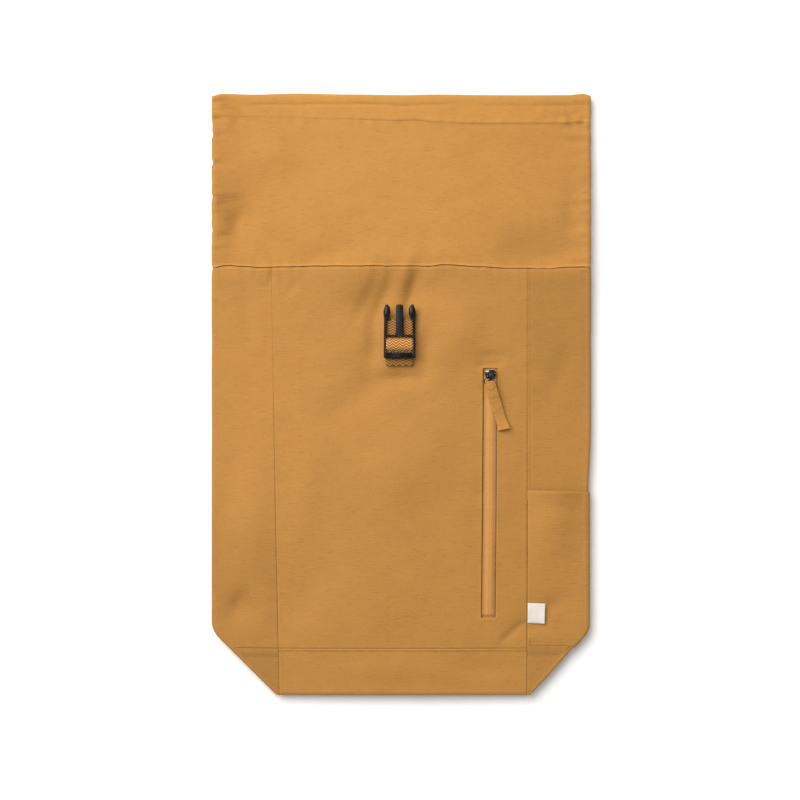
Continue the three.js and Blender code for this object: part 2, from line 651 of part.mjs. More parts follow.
// Pronged buckle half: y = 0 at the top edge of its frame, prongs towards +y
const LAYER_1 = WEBBING / 2;
const LAYER_2 = LAYER_1 + WEBBING + GAP;
const FRAME_Z = LAYER_2 + WEBBING / 2 + GAP;
const OVER_BAR = FRAME_Z + CENTRE_BAR_THICKNESS + GAP + WEBBING / 2;
const FRAME_LENGTH = TOP_BAR + BUCKLE_WINDOW + LOWER_BAR;

function prongOutline(shape, side) {
  const outer = side * BUCKLE_WIDTH / 2;
  const inward = -side;
  const points = [
    [outer + inward * 0.4, 0],
    [outer + inward * 0.4, PRONG_LENGTH - PRONG_HEAD],
    [outer, PRONG_LENGTH - PRONG_HEAD + 2],
    [outer, PRONG_LENGTH - PRONG_HEAD * 0.5],
    [outer + inward * PRONG_HEAD_WIDTH * 0.25, PRONG_LENGTH],
    [outer + inward * PRONG_HEAD_WIDTH * 0.6, PRONG_LENGTH],
    [outer + inward * PRONG_HEAD_WIDTH, PRONG_LENGTH - PRONG_HEAD * 0.55],
    [outer + inward * PRONG_HEAD_WIDTH * 0.85, PRONG_LENGTH - PRONG_HEAD * 0.9],
    [outer + inward * (PRONG_ARM + 0.4), PRONG_LENGTH - PRONG_HEAD - 2],
    [outer + inward * (PRONG_ARM + 0.4), 0],
  ];
  const ordered = side > 0 ? points : points.reverse();
  ordered.forEach(([x, y]) => shape.lineTo(x, y));
}

function buckleGeometry() {
  const half = BUCKLE_WIDTH / 2;
  const outline = new THREE.Shape();
  outline.moveTo(-half + BUCKLE_CORNER, -FRAME_LENGTH);
  outline.lineTo(half - BUCKLE_CORNER, -FRAME_LENGTH);
  outline.quadraticCurveTo(half, -FRAME_LENGTH, half, -FRAME_LENGTH + BUCKLE_CORNER);
  prongOutline(outline, 1);
  outline.lineTo(TONGUE_FLARE / 2, 0);
  outline.lineTo(TONGUE_WIDTH / 2, 4);
  outline.lineTo(TONGUE_WIDTH / 2, PRONG_LENGTH - 1.5);
  outline.lineTo(TONGUE_WIDTH / 2 - 1.5, PRONG_LENGTH);
  outline.lineTo(-TONGUE_WIDTH / 2 + 1.5, PRONG_LENGTH);
  outline.lineTo(-TONGUE_WIDTH / 2, PRONG_LENGTH - 1.5);
  outline.lineTo(-TONGUE_WIDTH / 2, 4);
  outline.lineTo(-TONGUE_FLARE / 2, 0);
  prongOutline(outline, -1);
  outline.lineTo(-half, -FRAME_LENGTH + BUCKLE_CORNER);
  outline.quadraticCurveTo(-half, -FRAME_LENGTH, -half + BUCKLE_CORNER, -FRAME_LENGTH);
  const edge = 0.5;
  const plate = new THREE.ExtrudeGeometry(outline, {
    depth: BUCKLE_THICKNESS - 2 * edge, curveSegments: 3, bevelEnabled: true,
    bevelThickness: edge, bevelSize: edge, bevelOffset: -edge, bevelSegments: 1,
  });
  plate.translate(0, 0, FRAME_Z + edge);
  const opening = WEBBING_WIDTH + 2 * GAP;
  const middleY = -TOP_BAR - BUCKLE_WINDOW / 2;
  const window = block(opening, BUCKLE_WINDOW, 4 * BUCKLE_THICKNESS, 0, middleY, FRAME_Z);
  const bar = block(opening + BUCKLE_WIDTH - WEBBING_WIDTH - 2, CENTRE_BAR, CENTRE_BAR_THICKNESS,
    0, middleY, FRAME_Z + CENTRE_BAR_THICKNESS / 2);
  const frame = toSolid(plate).subtract(toSolid(window));
  return closedSurface(toGeometry(frame.add(toSolid(bar))));
}

// The loop that holds the buckle: both ends are sewn to the front between the prongs
function buckleWebbing() {
  const barMiddle = -TOP_BAR - BUCKLE_WINDOW / 2;
  const slot = (CENTRE_BAR + BUCKLE_WINDOW) / 4;
  const corners = [
    [PATCH_ABOVE, LAYER_1],
    [-FRAME_LENGTH - BEND_BELOW, LAYER_1],
    [-FRAME_LENGTH - BEND_BELOW, LAYER_2],
    [barMiddle - slot - BEND_RADIUS, LAYER_2],
    [barMiddle - slot, OVER_BAR],
    [barMiddle + slot, OVER_BAR],
    [barMiddle + slot + BEND_RADIUS, LAYER_2],
    [PATCH_ABOVE - TAIL_SHORT, LAYER_2],
  ];
  return webbingGeometry(corners, BEND_RADIUS, WEBBING_WIDTH, WEBBING);
}

// Socket buckle half: y = 0 at its strap end, mouth towards -y, lying on the surface
const SOCKET_BAR_Z = 3;
function socketGeometry() {
  const half = SOCKET_WIDTH / 2;
  const outline = new THREE.Shape();
  outline.moveTo(-half + 3, -SOCKET_LENGTH);
  outline.lineTo(half - 3, -SOCKET_LENGTH);
  outline.lineTo(half, -SOCKET_LENGTH + 8);
  outline.lineTo(half, -3);
  outline.lineTo(half - 2, 0);
  outline.lineTo(-half + 2, 0);
  outline.lineTo(-half, -3);
  outline.lineTo(-half, -SOCKET_LENGTH + 8);
  const edge = 1;
  const shell = new THREE.ExtrudeGeometry(outline, {
    depth: SOCKET_THICKNESS - 2 * edge, bevelEnabled: true,
    bevelThickness: edge, bevelSize: edge, bevelOffset: -edge, bevelSegments: 1,
  });
  shell.translate(0, 0, edge);
  const passage = WEBBING_WIDTH + 2 * GAP;
  const barTop = SOCKET_BAR_Z + SOCKET_BAR_THICKNESS;
  const slotEnd = SOCKET_BAR + SOCKET_SLOT;
  const hollowEnd = slotEnd + SOCKET_WEB;
  const hollowLength = SOCKET_LENGTH - hollowEnd;
  const inside = SOCKET_THICKNESS - 2 * SOCKET_WALL;
  const cuts = [
    block(passage, SOCKET_SLOT, 3 * SOCKET_THICKNESS, 0, -SOCKET_BAR - SOCKET_SLOT / 2, 0),
    block(passage, 2 * SOCKET_BAR + 1, SOCKET_THICKNESS, 0, -0.5, barTop + SOCKET_THICKNESS / 2),
    block(passage, 2 * SOCKET_BAR + 1, SOCKET_THICKNESS, 0, -0.5, SOCKET_BAR_Z - SOCKET_THICKNESS / 2),
    block(SOCKET_WIDTH - 4 * SOCKET_WALL, 2 * hollowLength, inside,
      0, -hollowEnd - hollowLength, SOCKET_THICKNESS / 2),
    block(2 * SOCKET_WIDTH, SOCKET_SIDE_WINDOW, inside,
      0, -hollowEnd - SOCKET_WEB - SOCKET_SIDE_WINDOW / 2, SOCKET_THICKNESS / 2),
  ];
  const solid = cuts.reduce((body, cut) => body.subtract(toSolid(cut)), toSolid(shell));
  return closedSurface(toGeometry(solid));
}

// The strap from the collar's back seam, down the back and round the socket buckle's bar
function closureStrap() {
  const high = SOCKET_BAR_Z + SOCKET_BAR_THICKNESS + GAP + WEBBING / 2;
  const low = SOCKET_BAR_Z - GAP - WEBBING / 2;
  const loop = SOCKET_BAR + SOCKET_SLOT / 2;
  const corners = [
    [CLOSURE_LENGTH - PAD_FROM_SEAM, high],
    [-loop, high],
    [-loop, low],
    [SOCKET_BAR, low],
    [2 * SOCKET_BAR + SOCKET_SLOT, high - WEBBING - GAP],
    [SOCKET_SEWN_TAIL, high - WEBBING - GAP],
  ];
  return webbingGeometry(corners, BEND_RADIUS, WEBBING_WIDTH, WEBBING);
}

// Shoulder straps
const PAD_TOP_Y = COLLAR_SEAM - PAD_FROM_SEAM;
const ANCHOR_Y = BOTTOM + ANCHOR_ABOVE;
function padCurve(side) {
  const top = new THREE.Vector2(side * PAD_TOP_OUT, PAD_TOP_Y);
  const low = new THREE.Vector2(side * PAD_LOW_OUT, ANCHOR_Y + PAD_TO_ANCHOR);
  const anchor = new THREE.Vector2(side * (seamOut(side, ANCHOR_Y) - ANCHOR_INSIDE), ANCHOR_Y);
  const towards = anchor.clone().sub(low).normalize();
  const pull = low.clone().addScaledVector(towards, -PAD_BEND);
  return { curve: new THREE.QuadraticBezierCurve(top, pull, low), low, anchor };
}

function padGeometry(side) {
  const { curve } = padCurve(side);
  const left = [];
  const right = [];
  for (const row of PAD_OUTLINE) {
    const middle = curve.getPoint(row.along);
    const heading = curve.getTangent(row.along);
    const aside = new THREE.Vector2(-heading.y, heading.x).multiplyScalar(row.wide * PAD_WIDTH / 2);
    left.unshift(middle.clone().add(aside));
    right.push(middle.clone().sub(aside));
  }
  const geometry = new THREE.ExtrudeGeometry(new THREE.Shape([...right, ...left]), {
    depth: PAD_THICKNESS - 2 * PAD_EDGE, bevelEnabled: true,
    bevelThickness: PAD_EDGE, bevelSize: PAD_EDGE, bevelOffset: -PAD_EDGE, bevelSegments: 2,
  });
  return closedSurface(geometry.translate(0, 0, PAD_EDGE));
}

// Ladder lock: y = 0 at its top bar's upper edge, lower webbing towards -y
const LOCK_Z = 3;
const LOCK_SLOTS = [
  -LOCK_BAR,
  -LOCK_BAR - LOCK_SLOT - LOCK_BRIDGE,
  -LOCK_BAR - 2 * LOCK_SLOT - LOCK_BRIDGE - LOCK_BAR,
];
const LOCK_LENGTH = 3 * LOCK_BAR + 3 * LOCK_SLOT + LOCK_BRIDGE;

function lockGeometry() {
  const half = STRAP_WIDTH / 2 + GAP + LOCK_WALL;
  const plate = new THREE.Shape();
  plate.moveTo(-half, -LOCK_LENGTH + 3);
  plate.lineTo(-half + 3, -LOCK_LENGTH);
  plate.lineTo(half - 3, -LOCK_LENGTH);
  plate.lineTo(half, -LOCK_LENGTH + 3);
  plate.lineTo(half, -2);
  plate.lineTo(half - 2, 0);
  plate.lineTo(-half + 2, 0);
  plate.lineTo(-half, -2);
  for (const top of LOCK_SLOTS) {
    const wide = STRAP_WIDTH / 2 + GAP;
    const slot = new THREE.Path();
    slot.moveTo(-wide, top);
    slot.lineTo(wide, top);
    slot.lineTo(wide, top - LOCK_SLOT);
    slot.lineTo(-wide, top - LOCK_SLOT);
    slot.closePath();
    plate.holes.push(slot);
  }
  const geometry = new THREE.ExtrudeGeometry(plate, { depth: LOCK_THICKNESS, bevelEnabled: false });
  return closedSurface(geometry.translate(0, 0, LOCK_Z));
}

const STRAP_OVER = LOCK_Z + LOCK_THICKNESS + GAP + STRAP_WEBBING / 2;
const STRAP_UNDER = LOCK_Z - GAP - STRAP_WEBBING / 2;

// The loop between a pad's lower end and the lock's top bar
function padLoop() {
  const turn = LOCK_SLOTS[0] - LOCK_SLOT / 2;
  const end = LOOP_LENGTH - GAP;
  const pinch = (STRAP_WEBBING + GAP) / 2;
  const corners = [
    [end, PAD_THICKNESS / 2 + pinch],
    [end / 2, PAD_THICKNESS / 2 + pinch],
    [LOCK_BAR / 2, STRAP_OVER],
    [turn, STRAP_OVER],
    [turn, STRAP_UNDER],
    [LOCK_BAR / 2, STRAP_UNDER],
    [end / 2, PAD_THICKNESS / 2 - pinch],
    [end, PAD_THICKNESS / 2 - pinch],
  ];
  return webbingGeometry(corners, BEND_RADIUS, STRAP_WIDTH, STRAP_WEBBING);
}

// The lower webbing: from its anchor up through the lock, over the middle bar and back as a tail
function lowerWebbing(anchorDistance, anchorZ) {
  const slotIn = LOCK_SLOTS[2] - LOCK_SLOT / 2;
  const slotOut = LOCK_SLOTS[1] - LOCK_SLOT / 2;
  const tail = STRAP_UNDER - STRAP_WEBBING - GAP;
  const corners = [
    [-anchorDistance, anchorZ],
    [-anchorDistance + 10, anchorZ],
    [-anchorDistance + 22, STRAP_UNDER],
    [slotIn - BEND_RADIUS, STRAP_UNDER],
    [slotIn, STRAP_OVER],
    [slotOut, STRAP_OVER],
    [slotOut + BEND_RADIUS / 2, tail],
    [slotIn - STRAP_TAIL, tail],
  ];
  return webbingGeometry(corners, BEND_RADIUS, STRAP_WIDTH, STRAP_WEBBING);
}

function shoulderStrap(name, side) {
  const { low, anchor } = padCurve(side);
  const heading = anchor.clone().sub(low);
  const group = new THREE.Group();
  group.add(piece(`${name}_shoulder_pad`, padGeometry(side), canvas));
  const hardware = new THREE.Group();
  const start = low.clone().addScaledVector(heading.clone().normalize(), LOOP_LENGTH);
  hardware.position.set(start.x, start.y, 0);
  hardware.rotation.z = Math.atan2(heading.x, -heading.y);
  hardware.add(piece(`${name}_pad_loop`, padLoop(), webbing));
  hardware.add(piece(`${name}_ladder_lock`, lockGeometry(), plastic));
  const corner = STRAP_WIDTH / 2;
  const seat = backHeight(Math.abs(anchor.x) + corner, anchor.y - corner) - LAY - STRAP_WEBBING / 2;
  const lower = lowerWebbing(heading.length() - LOOP_LENGTH, seat);
  hardware.add(piece(`${name}_lower_webbing`, lower, webbing));
  group.add(hardware);
  return group;
}

// Cloth of the bag
function clothGroup() {
  const group = new THREE.Group();
  const leftX = (y) => -seamOut(-1, y) + GAP / 2;
  const rightX = (y) => seamOut(1, y) - GAP / 2;
  const bodyLow = BAND_SEAM + GAP / 2;
  const bodyHigh = COLLAR_SEAM - GAP / 2;
  const bandHigh = BAND_SEAM - GAP / 2;
  const { front, back, collar } = clothColumns;
  group.add(piece('front_panel', frontPanelGeometry(), canvas));
  group.add(piece('back_panel', facePanel('back', back, clothRows.back, leftX, rightX, bodyLow, bodyHigh),
    canvas));
  group.add(piece('front_band', facePanel('front', front / 2, 3, leftX, rightX, BOTTOM, bandHigh), canvas));
  group.add(piece('back_band', facePanel('back', back, 3, leftX, rightX, BOTTOM, bandHigh), canvas));
  group.add(piece('base_panel', baseGeometry(), canvas));
  for (const [name, side] of [['left', -1], ['right', 1]]) {
    group.add(piece(`${name}_gusset`, gussetWrap(side, clothRows.gusset, bodyLow, bodyHigh,
      GUSSET_ROW_POWER), canvas));
    group.add(piece(`${name}_gusset_toe`, gussetWrap(side, 4, BOTTOM, BAND_SEAM - LAY), canvas));
  }
  group.add(piece('collar_front', collarHalf('front', collar, clothRows.collar), canvas));
  group.add(piece('collar_back', collarHalf('back', back, clothRows.collar), canvas));
  group.add(piece('side_pocket', pocketGeometry(), canvas));
  group.add(piece('side_label', labelGeometry(), labelCloth));
  return group;
}

function zipGroup() {
  const group = new THREE.Group();
  group.add(piece('zip_tape_left', tapeGeometry(-1), tape));
  group.add(piece('zip_tape_right', tapeGeometry(1), tape));
  group.add(piece('zip_coil', coilGeometry(), tape));
  const half = SLIDER_LENGTH / 2;
  const hardware = groupOnFront(zipX(SLIDER_Y), SLIDER_Y - half, SLIDER_Y + half, SLIDER_LIFT);
  hardware.add(piece('zip_slider', sliderGeometry(), metal));
  const pull = new THREE.Group();
  pull.position.y = RING_TOP_Y;
  pull.rotation.z = degrees(PULLER_SWING);
  pull.add(piece('zip_ring', ringGeometry(), metal));
  pull.add(piece('zip_puller', pullerGeometry(), canvas));
  hardware.add(pull);
  group.add(hardware);
  return group;
}

function frontBuckleGroup() {
  const top = COLLAR_SEAM - BUCKLE_DROP;
  const frameTop = top - PRONG_LENGTH;
  const low = frameTop - FRAME_LENGTH - BEND_BELOW;
  const group = groupOnFront(BUCKLE_SHIFT, low, top, LAY);
  const placed = new THREE.Group();
  placed.position.y = frameTop - (low + top) / 2;
  placed.add(piece('buckle_webbing', buckleWebbing(), webbing));
  placed.add(piece('buckle_male', buckleGeometry(), plastic));
  group.add(placed);
  return group;
}

function closureGroup() {
  const group = new THREE.Group();
  group.position.y = SOCKET_TOP;
  group.add(piece('closure_strap', closureStrap(), webbing));
  group.add(piece('buckle_female', socketGeometry(), plastic));
  return group;
}

const backpack = new THREE.Group();
backpack.add(clothGroup(), zipGroup(), frontBuckleGroup(), closureGroup());
backpack.add(shoulderStrap('left', -1), shoulderStrap('right', 1));

export default backpack;
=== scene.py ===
"""A rolltop backpack of mustard canvas, unrolled and lying on its back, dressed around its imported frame.

Everything is in metres, in the frame's own axes: +X to the photo's right, +Y up the bag to its
mouth and +Z off the surface that the bag lies on.
"""

import math

import bmesh
import bpy
import numpy as np
from bpy.props import FloatProperty, FloatVectorProperty, PointerProperty
from mathutils import Matrix, Vector, noise


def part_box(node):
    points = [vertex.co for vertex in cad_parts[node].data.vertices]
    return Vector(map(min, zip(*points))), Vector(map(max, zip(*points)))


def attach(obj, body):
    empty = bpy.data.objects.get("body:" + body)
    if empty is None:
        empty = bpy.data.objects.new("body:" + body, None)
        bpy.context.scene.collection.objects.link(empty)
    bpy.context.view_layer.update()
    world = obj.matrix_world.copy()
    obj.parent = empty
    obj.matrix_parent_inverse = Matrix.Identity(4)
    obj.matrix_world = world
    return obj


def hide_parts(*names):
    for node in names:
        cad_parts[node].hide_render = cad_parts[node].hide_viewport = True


bl_info = {
    "name": "Rolltop Backpack",
    "version": (1, 0, 0),
    "blender": (4, 5, 0),
    "location": "View3D > Sidebar > Backpack",
    "description": "Sews a canvas rolltop backpack around its packed frame",
    "category": "Add Mesh",
}

BODY = "root"
MM = 0.001

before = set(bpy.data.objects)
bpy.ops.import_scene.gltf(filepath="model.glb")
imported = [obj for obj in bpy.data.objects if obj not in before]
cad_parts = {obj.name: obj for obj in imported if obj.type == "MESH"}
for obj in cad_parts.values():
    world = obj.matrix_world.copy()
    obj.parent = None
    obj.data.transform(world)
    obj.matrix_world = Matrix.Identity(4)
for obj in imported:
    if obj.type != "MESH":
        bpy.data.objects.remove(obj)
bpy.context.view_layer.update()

# Gaps: between the frame's pieces, below what lies on the cloth, and in the seams of this scene
GAP = 0.3 * MM
LAY = 0.6 * MM
SEAM = 0.015 * MM

# Places read from the frame
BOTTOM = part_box("front_band")[0].y
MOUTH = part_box("collar_front")[1].y
BAND_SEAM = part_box("front_band")[1].y + GAP / 2
COLLAR_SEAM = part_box("front_panel")[1].y + GAP / 2
HALF_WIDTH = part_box("collar_front")[1].x
FRONT_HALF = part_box("front_panel")[1].x + GAP / 2
SEAM_LEAN = 2 * (-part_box("front_panel")[0].x + GAP / 2 - FRONT_HALF)
POCKET_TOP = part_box("side_pocket")[1].y
BODY_HEIGHT = COLLAR_SEAM - BOTTOM
GUSSET_DEPTH = 2 * (HALF_WIDTH - FRONT_HALF)

# Form of the bag, as the frame's cloth has it
CLOTH = 1.6 * MM
FOLD_RADIUS = 6 * MM
FOLD_SHAPE = 0.6
SIDE_LIFT = 3.2 * MM
LOFT = 17 * MM
CORNER_ROUND = 10 * MM
TOE_TIP = 4 * MM
POCKET_HEM = 2.2 * MM
POCKET_BELLY = 7 * MM
HEM_HEIGHT = 29 * MM
BASE_FOLD_RADIUS = 2.6 * MM

# Thickness of the sheets that are thinner here than the cloth's own wall
FRONT_WALL = 0.7 * MM
POCKET_WALL = 0.8 * MM
COLLAR_WALL = 1.1 * MM
PULLER_WALL = 1.2 * MM
TAPE_WALL = 0.6 * MM
COIL_WALL = 0.8 * MM
LABEL_WALL = 0.5 * MM

# Shoulder straps and closing strap, behind the bag
PAD_THICKNESS = 7 * MM
PAD_WIDTH = 60 * MM
PAD_LOW_OUT = FRONT_HALF - 54 * MM
STRAP_ZONE = PAD_LOW_OUT + PAD_WIDTH / 2 + 8 * MM
SOCKET_WIDTH = 36 * MM
SOCKET_LENGTH = 50 * MM
SOCKET_THICKNESS = 9 * MM
SOCKET_TOP = COLLAR_SEAM - 190 * MM
SOCKET_MOUND = 25 * MM
SOCKET_FADE = 42 * MM

# Zip
ZIP_LENGTH = 278 * MM
ZIP_WINDOW = 16 * MM
ZIP_BOTTOM = BAND_SEAM + 34.4 * MM
ZIP_TOP = ZIP_BOTTOM + ZIP_LENGTH
ZIP_LEAN = 2 * MM
ZIP_FROM_SEAM = 42.5 * MM
TAPE_UNDERLAP = 6 * MM
TAPE_END_DEPTH = 1.3 * MM
ZIP_LOW_RAMP = 4 * MM
ZIP_RAMP = 14 * MM
COIL_HALF = 1.5 * MM

# Fullness at even steps from the bottom edge to the mouth
FRONT_FULLNESS = (0.12, 0.6, 0.92, 1.0, 0.95, 0.8, 0.48, 0.24, 0.1)
BACK_FULLNESS = (0.6, 1.0, 1.0, 1.0, 1.0, 1.0, 1.0, 0.4, 0.0)

# Main dents and folds of the front: across as a share of the half width, up as a share of the
# height, turn in degrees from +Y towards +X, long and wide as shares of the front's width, and
# deep as a share of the loft.
FOLDS = (
    (-0.09, 0.66, 20, 0.14, 0.045, -0.14),
    (0.055, 0.665, 16, 0.1, 0.04, -0.13),
    (-0.2, 0.55, 40, 0.1, 0.06, -0.1),
    (0.3, 0.62, -50, 0.16, 0.07, 0.07),
    (-0.45, 0.4, 8, 0.4, 0.09, 0.06),
    (0.1, 0.3, -12, 0.35, 0.1, -0.06),
    (0.58, 0.11, 45, 0.07, 0.035, -0.1),
    (-0.82, 0.16, 15, 0.12, 0.06, -0.1),
    (-0.9, 0.81, 0, 0.09, 0.07, -0.12),
    (-0.88, 0.97, -55, 0.07, 0.035, -0.1),
    (0.68, 0.755, 70, 0.15, 0.06, -0.12),
    (-0.25, 0.85, 60, 0.25, 0.09, 0.1),
    (0.45, 0.88, -20, 0.2, 0.07, -0.07),
)

# Finer creases of the front, in millimetres: from (x, y) to (x, y), width and depth
CREASES = (
    (-6, 142, -34, 72, 9, -0.9),
    (19, 139, 5, 88, 7, -0.75),
    (2, 140, -12, 100, 9, 0.5),
    (-28, 62, -42, 12, 11, -0.7),
    (22, 62, 34, 22, 10, -0.5),
    (112, -275, 137, -254, 3.2, -0.45),
    (104, -277, 128, -250, 6, 0.2),
    (84, 33, 112, 34, 4, -0.8),
    (162, -232, 196, -246, 10, -0.35),
    (-200, 325, -174, 304, 5, -1.0),
    (-212, 322, -192, 300, 5, 0.6),
    (175, 312, 211, 297, 4, -1.0),
    (178, 305, 211, 309, 4, 0.7),
    (-206, 215, -176, 190, 14, -0.9),
    (-160, 300, -80, 170, 22, 0.9),
    (120, 168, 195, 176, 15, -0.8),
    (-30, 150, 60, 156, 12, 0.5),
    (-184, -226, -160, -246, 12, -0.8),
    (-196, -150, -182, -60, 12, -0.5),
    (-168, 60, -176, 116, 10, -0.5),
    (-98, -60, -116, -170, 16, 0.5),
    (60, -210, 20, -110, 18, -0.5),
    (-60, -200, -20, -260, 16, 0.5),
    (154, -120, 206, -132, 9, -0.6),
    (160, -20, 190, 60, 14, -0.5),
)

# The collar's seam wanders by this much along the bag's width, in millimetres
SEAM_WANDER = ((-212, -0.9), (-197, 1.9), (-156, -0.3), (-80, 1.1), (22, 1.0), (28, 0.4), (49, 2.3),
               (88, 0.3), (116, -1.2), (164, -1.3), (184, 0.4), (212, 0.4))

# Height of the mouth's edge along the bag's width, in millimetres
MOUTH_WANDER = ((-212, -2.0), (-200, 0.3), (-165, -0.6), (-120, 0.5), (-60, -0.5), (0, -1.3),
                (40, -0.7), (90, -1.2), (150, -1.4), (185, -1.2), (204, 0.4), (212, -1.5))

# Broader dents and swells of the front, in millimetres: x, y, turn in degrees, half length, half
# width and height
DENTS = (
    (-182, 192, 10, 30, 15, -3.2),
    (-150, 268, 0, 28, 26, 1.6),
    (-88, 152, 70, 34, 16, -1.2),
    (158, 152, 85, 46, 16, -3.0),
    (192, 204, 0, 34, 12, -1.0),
    (-13, 106, 78, 52, 20, -2.8),
    (8, -76, 20, 55, 48, 2.8),
    (-164, -140, 0, 70, 24, 1.8),
    (168, -236, 60, 16, 9, -0.6),
    (150, -258, 80, 18, 8, -1.0),
    (-110, -225, 20, 40, 26, -1.4),
    (-186, -240, 30, 18, 14, -1.4),
    (64, 66, 30, 40, 20, 1.3),
    (-60, -10, 60, 30, 18, -1.0),
    (-30, 10, 50, 20, 14, -1.6),
    (165, -150, 10, 50, 20, 0.9),
    (0, -306, 90, 60, 14, 0.7),
    (-2, 17, 88, 22, 9, -2.2),
    (26, 44, 10, 34, 8, -1.0),
    (-30, 60, 0, 30, 9, -0.9),
    (-36, 112, 24, 40, 8, -0.9),
    (12, 112, 14, 40, 8, -1.0),
    (98, 42, 90, 16, 6, -0.9),
    (-206, 214, 80, 22, 6, -1.0),
    (-206, 176, 84, 18, 5, -0.8),
    (-208, 262, 88, 18, 4.5, -0.8),
    (-208, 292, 96, 16, 4.5, -0.9),
    (-208, 143, 100, 20, 5, -0.7),
    (206, 302, 80, 24, 5, -0.9),
    (206, 281, 98, 22, 5, -0.9),
    (206, 267, 84, 16, 4, -0.6),
    (206, 188, 88, 16, 5, -0.6),
    (206, 145, 84, 16, 5, -0.7),
    (-120, 120, 40, 14, 5, -0.5),
    (-146, 128, 20, 10, 4, -0.5),
    (-132, 128, -10, 10, 4, -0.5),
    (90, -306, 90, 30, 12, -0.7),
)

# Small tucks in the side folds: side, y, how far they draw in and their length up the fold, in
# millimetres
TUCKS = (
    (-1, 301, 0.8, 5), (-1, 291, 1.5, 3.5), (-1, 260, 1.4, 3.5), (-1, 236, 0.5, 5),
    (-1, 221, 0.9, 4), (-1, 199, 0.4, 4), (-1, 184, 1.0, 4), (-1, 172, 0.5, 4), (-1, 141, 1.1, 5),
    (1, 306, 0.7, 4), (1, 297, 0.9, 4), (1, 277, 0.9, 4), (1, 266, 0.6, 4), (1, 229, 0.5, 4),
    (1, 205, 0.4, 4), (1, 186, 0.7, 4), (1, 158, 0.5, 4), (1, 143, 0.9, 4), (1, 60, 0.5, 9),
    (-1, 60, 0.4, 12), (-1, -40, 0.3, 20), (1, -60, 0.4, 16),
)

# Depth of the mouth's hem along the bag's width, in millimetres
HEM_LINE = ((-212, 25.0), (-130, 26.0), (-80, 28.5), (10, 30.0), (40, 32.5), (120, 33.0),
            (180, 32.6), (212, 31.0))


def color_value(name, description, default):
    return FloatVectorProperty(name=name, description=description, subtype="COLOR", size=3, min=0,
                               max=1, default=default)


def length_value(name, description, default, low, high):
    return FloatProperty(name=name, description=description, default=default, min=low, max=high,
                         subtype="DISTANCE", unit="LENGTH")


class BackpackCloth(bpy.types.PropertyGroup):
    """Cloth of the bag"""

    color: color_value("Canvas", "Colour of the canvas", (0.388, 0.179, 0.036))
    weave: length_value("Weave", "Distance from thread to thread", 0.85 * MM, 0.2 * MM, 3 * MM)
    cell: length_value("Cell", "Size of the cloth's mesh cells", 2.5 * MM, 1 * MM, 20 * MM)
    pucker: length_value("Pucker", "Depth of the small gathers beside seams", 0.7 * MM, 0, 2 * MM)
    crease: FloatProperty(name="Creases", description="Strength of the dents and fine creases",
                          default=2.7, min=0, max=3, subtype="FACTOR")


class BackpackFittings(bpy.types.PropertyGroup):
    """Webbing, zip, buckles and label"""

    webbing: color_value("Webbing", "Colour of the webbing", (0.43, 0.195, 0.05))
    tape: color_value("Zip tape", "Colour of the zip's tape and coil", (0.42, 0.196, 0.05))
    plastic: color_value("Plastic", "Colour of the buckles", (0.0022, 0.003, 0.0034))
    metal: color_value("Metal", "Colour of the slider and its ring", (0.035, 0.038, 0.042))
    label: color_value("Label", "Colour of the woven label", (0.69, 0.63, 0.555))


class BackpackStage(bpy.types.PropertyGroup):
    """Floor, light and camera"""

    floor: color_value("Floor", "Colour of the floor", (0.9, 0.9, 0.9))
    key: FloatProperty(name="Key light", description="Power of the light from the upper left",
                       default=237.0, min=0, max=800, subtype="POWER")
    sky: FloatProperty(name="Surroundings", description="Strength of the even light all round",
                       default=0.55, min=0, max=5)
    lens: FloatProperty(name="Lens", description="Focal length of the camera", default=100,
                        min=35, max=200, subtype="DISTANCE_CAMERA", unit="CAMERA")
    width: length_value("View width", "Width that the picture takes in", 0.896, 0.3, 3)


# Arithmetic on arrays of points


def lerp(a, b, share):
    return a + (b - a) * share


def smoothstep(value, low, high):
    share = np.clip((value - low) / (high - low), 0, 1)
    return share * share * (3 - 2 * share)


def plateau(distance, half, fade):
    """1 up to half a width from the middle, then a soft fall to 0."""
    return 1 - smoothstep(np.abs(distance), half, half + fade)


def rounded_min(a, b, radius):
    near = np.maximum(radius - np.abs(a - b), 0) / radius
    return np.minimum(a, b) - near * near * radius / 4


def bump(distance, width):
    return np.exp(-((distance / width) ** 2))


def spline(values, share):
    """A smooth curve through values that stand at even steps."""
    last = len(values) - 1
    place = np.clip(share, 0, 1) * last
    k = np.minimum(np.asarray(place).astype(int), last - 1)
    t = place - k
    values = np.asarray(values)
    before, here = values[np.maximum(k - 1, 0)], values[k]
    after, beyond = values[np.minimum(k + 1, last)], values[np.minimum(k + 2, last)]
    start, end = (after - before) / 2, (beyond - here) / 2
    return ((2 * here - 2 * after + start + end) * t**3
            + (3 * after - 3 * here - 2 * start - end) * t**2 + start * t + here)


def along_table(table, x):
    """The value of a table of (place, value) pairs, both in millimetres, with soft corners."""
    places = np.array([row[0] for row in table]) * MM
    values = np.array([row[1] for row in table]) * MM
    k = np.clip(np.searchsorted(places, x) - 1, 0, len(places) - 2)
    share = smoothstep(x, places[k], places[k + 1])
    return lerp(values[k], values[k + 1], share)


def ripples(a, b, seed=0.0):
    """Smooth noise from about -1 to 1 over two arrays of numbers; it is the same on every run."""
    a, b = np.broadcast_arrays(np.asarray(a, float), np.asarray(b, float))
    flat = [noise.noise(Vector((p, q, seed))) for p, q in zip(a.ravel(), b.ravel())]
    return np.array(flat).reshape(a.shape) * 1.6


# Form of the bag


def up_share(y):
    return (y - BOTTOM) / (MOUTH - BOTTOM)


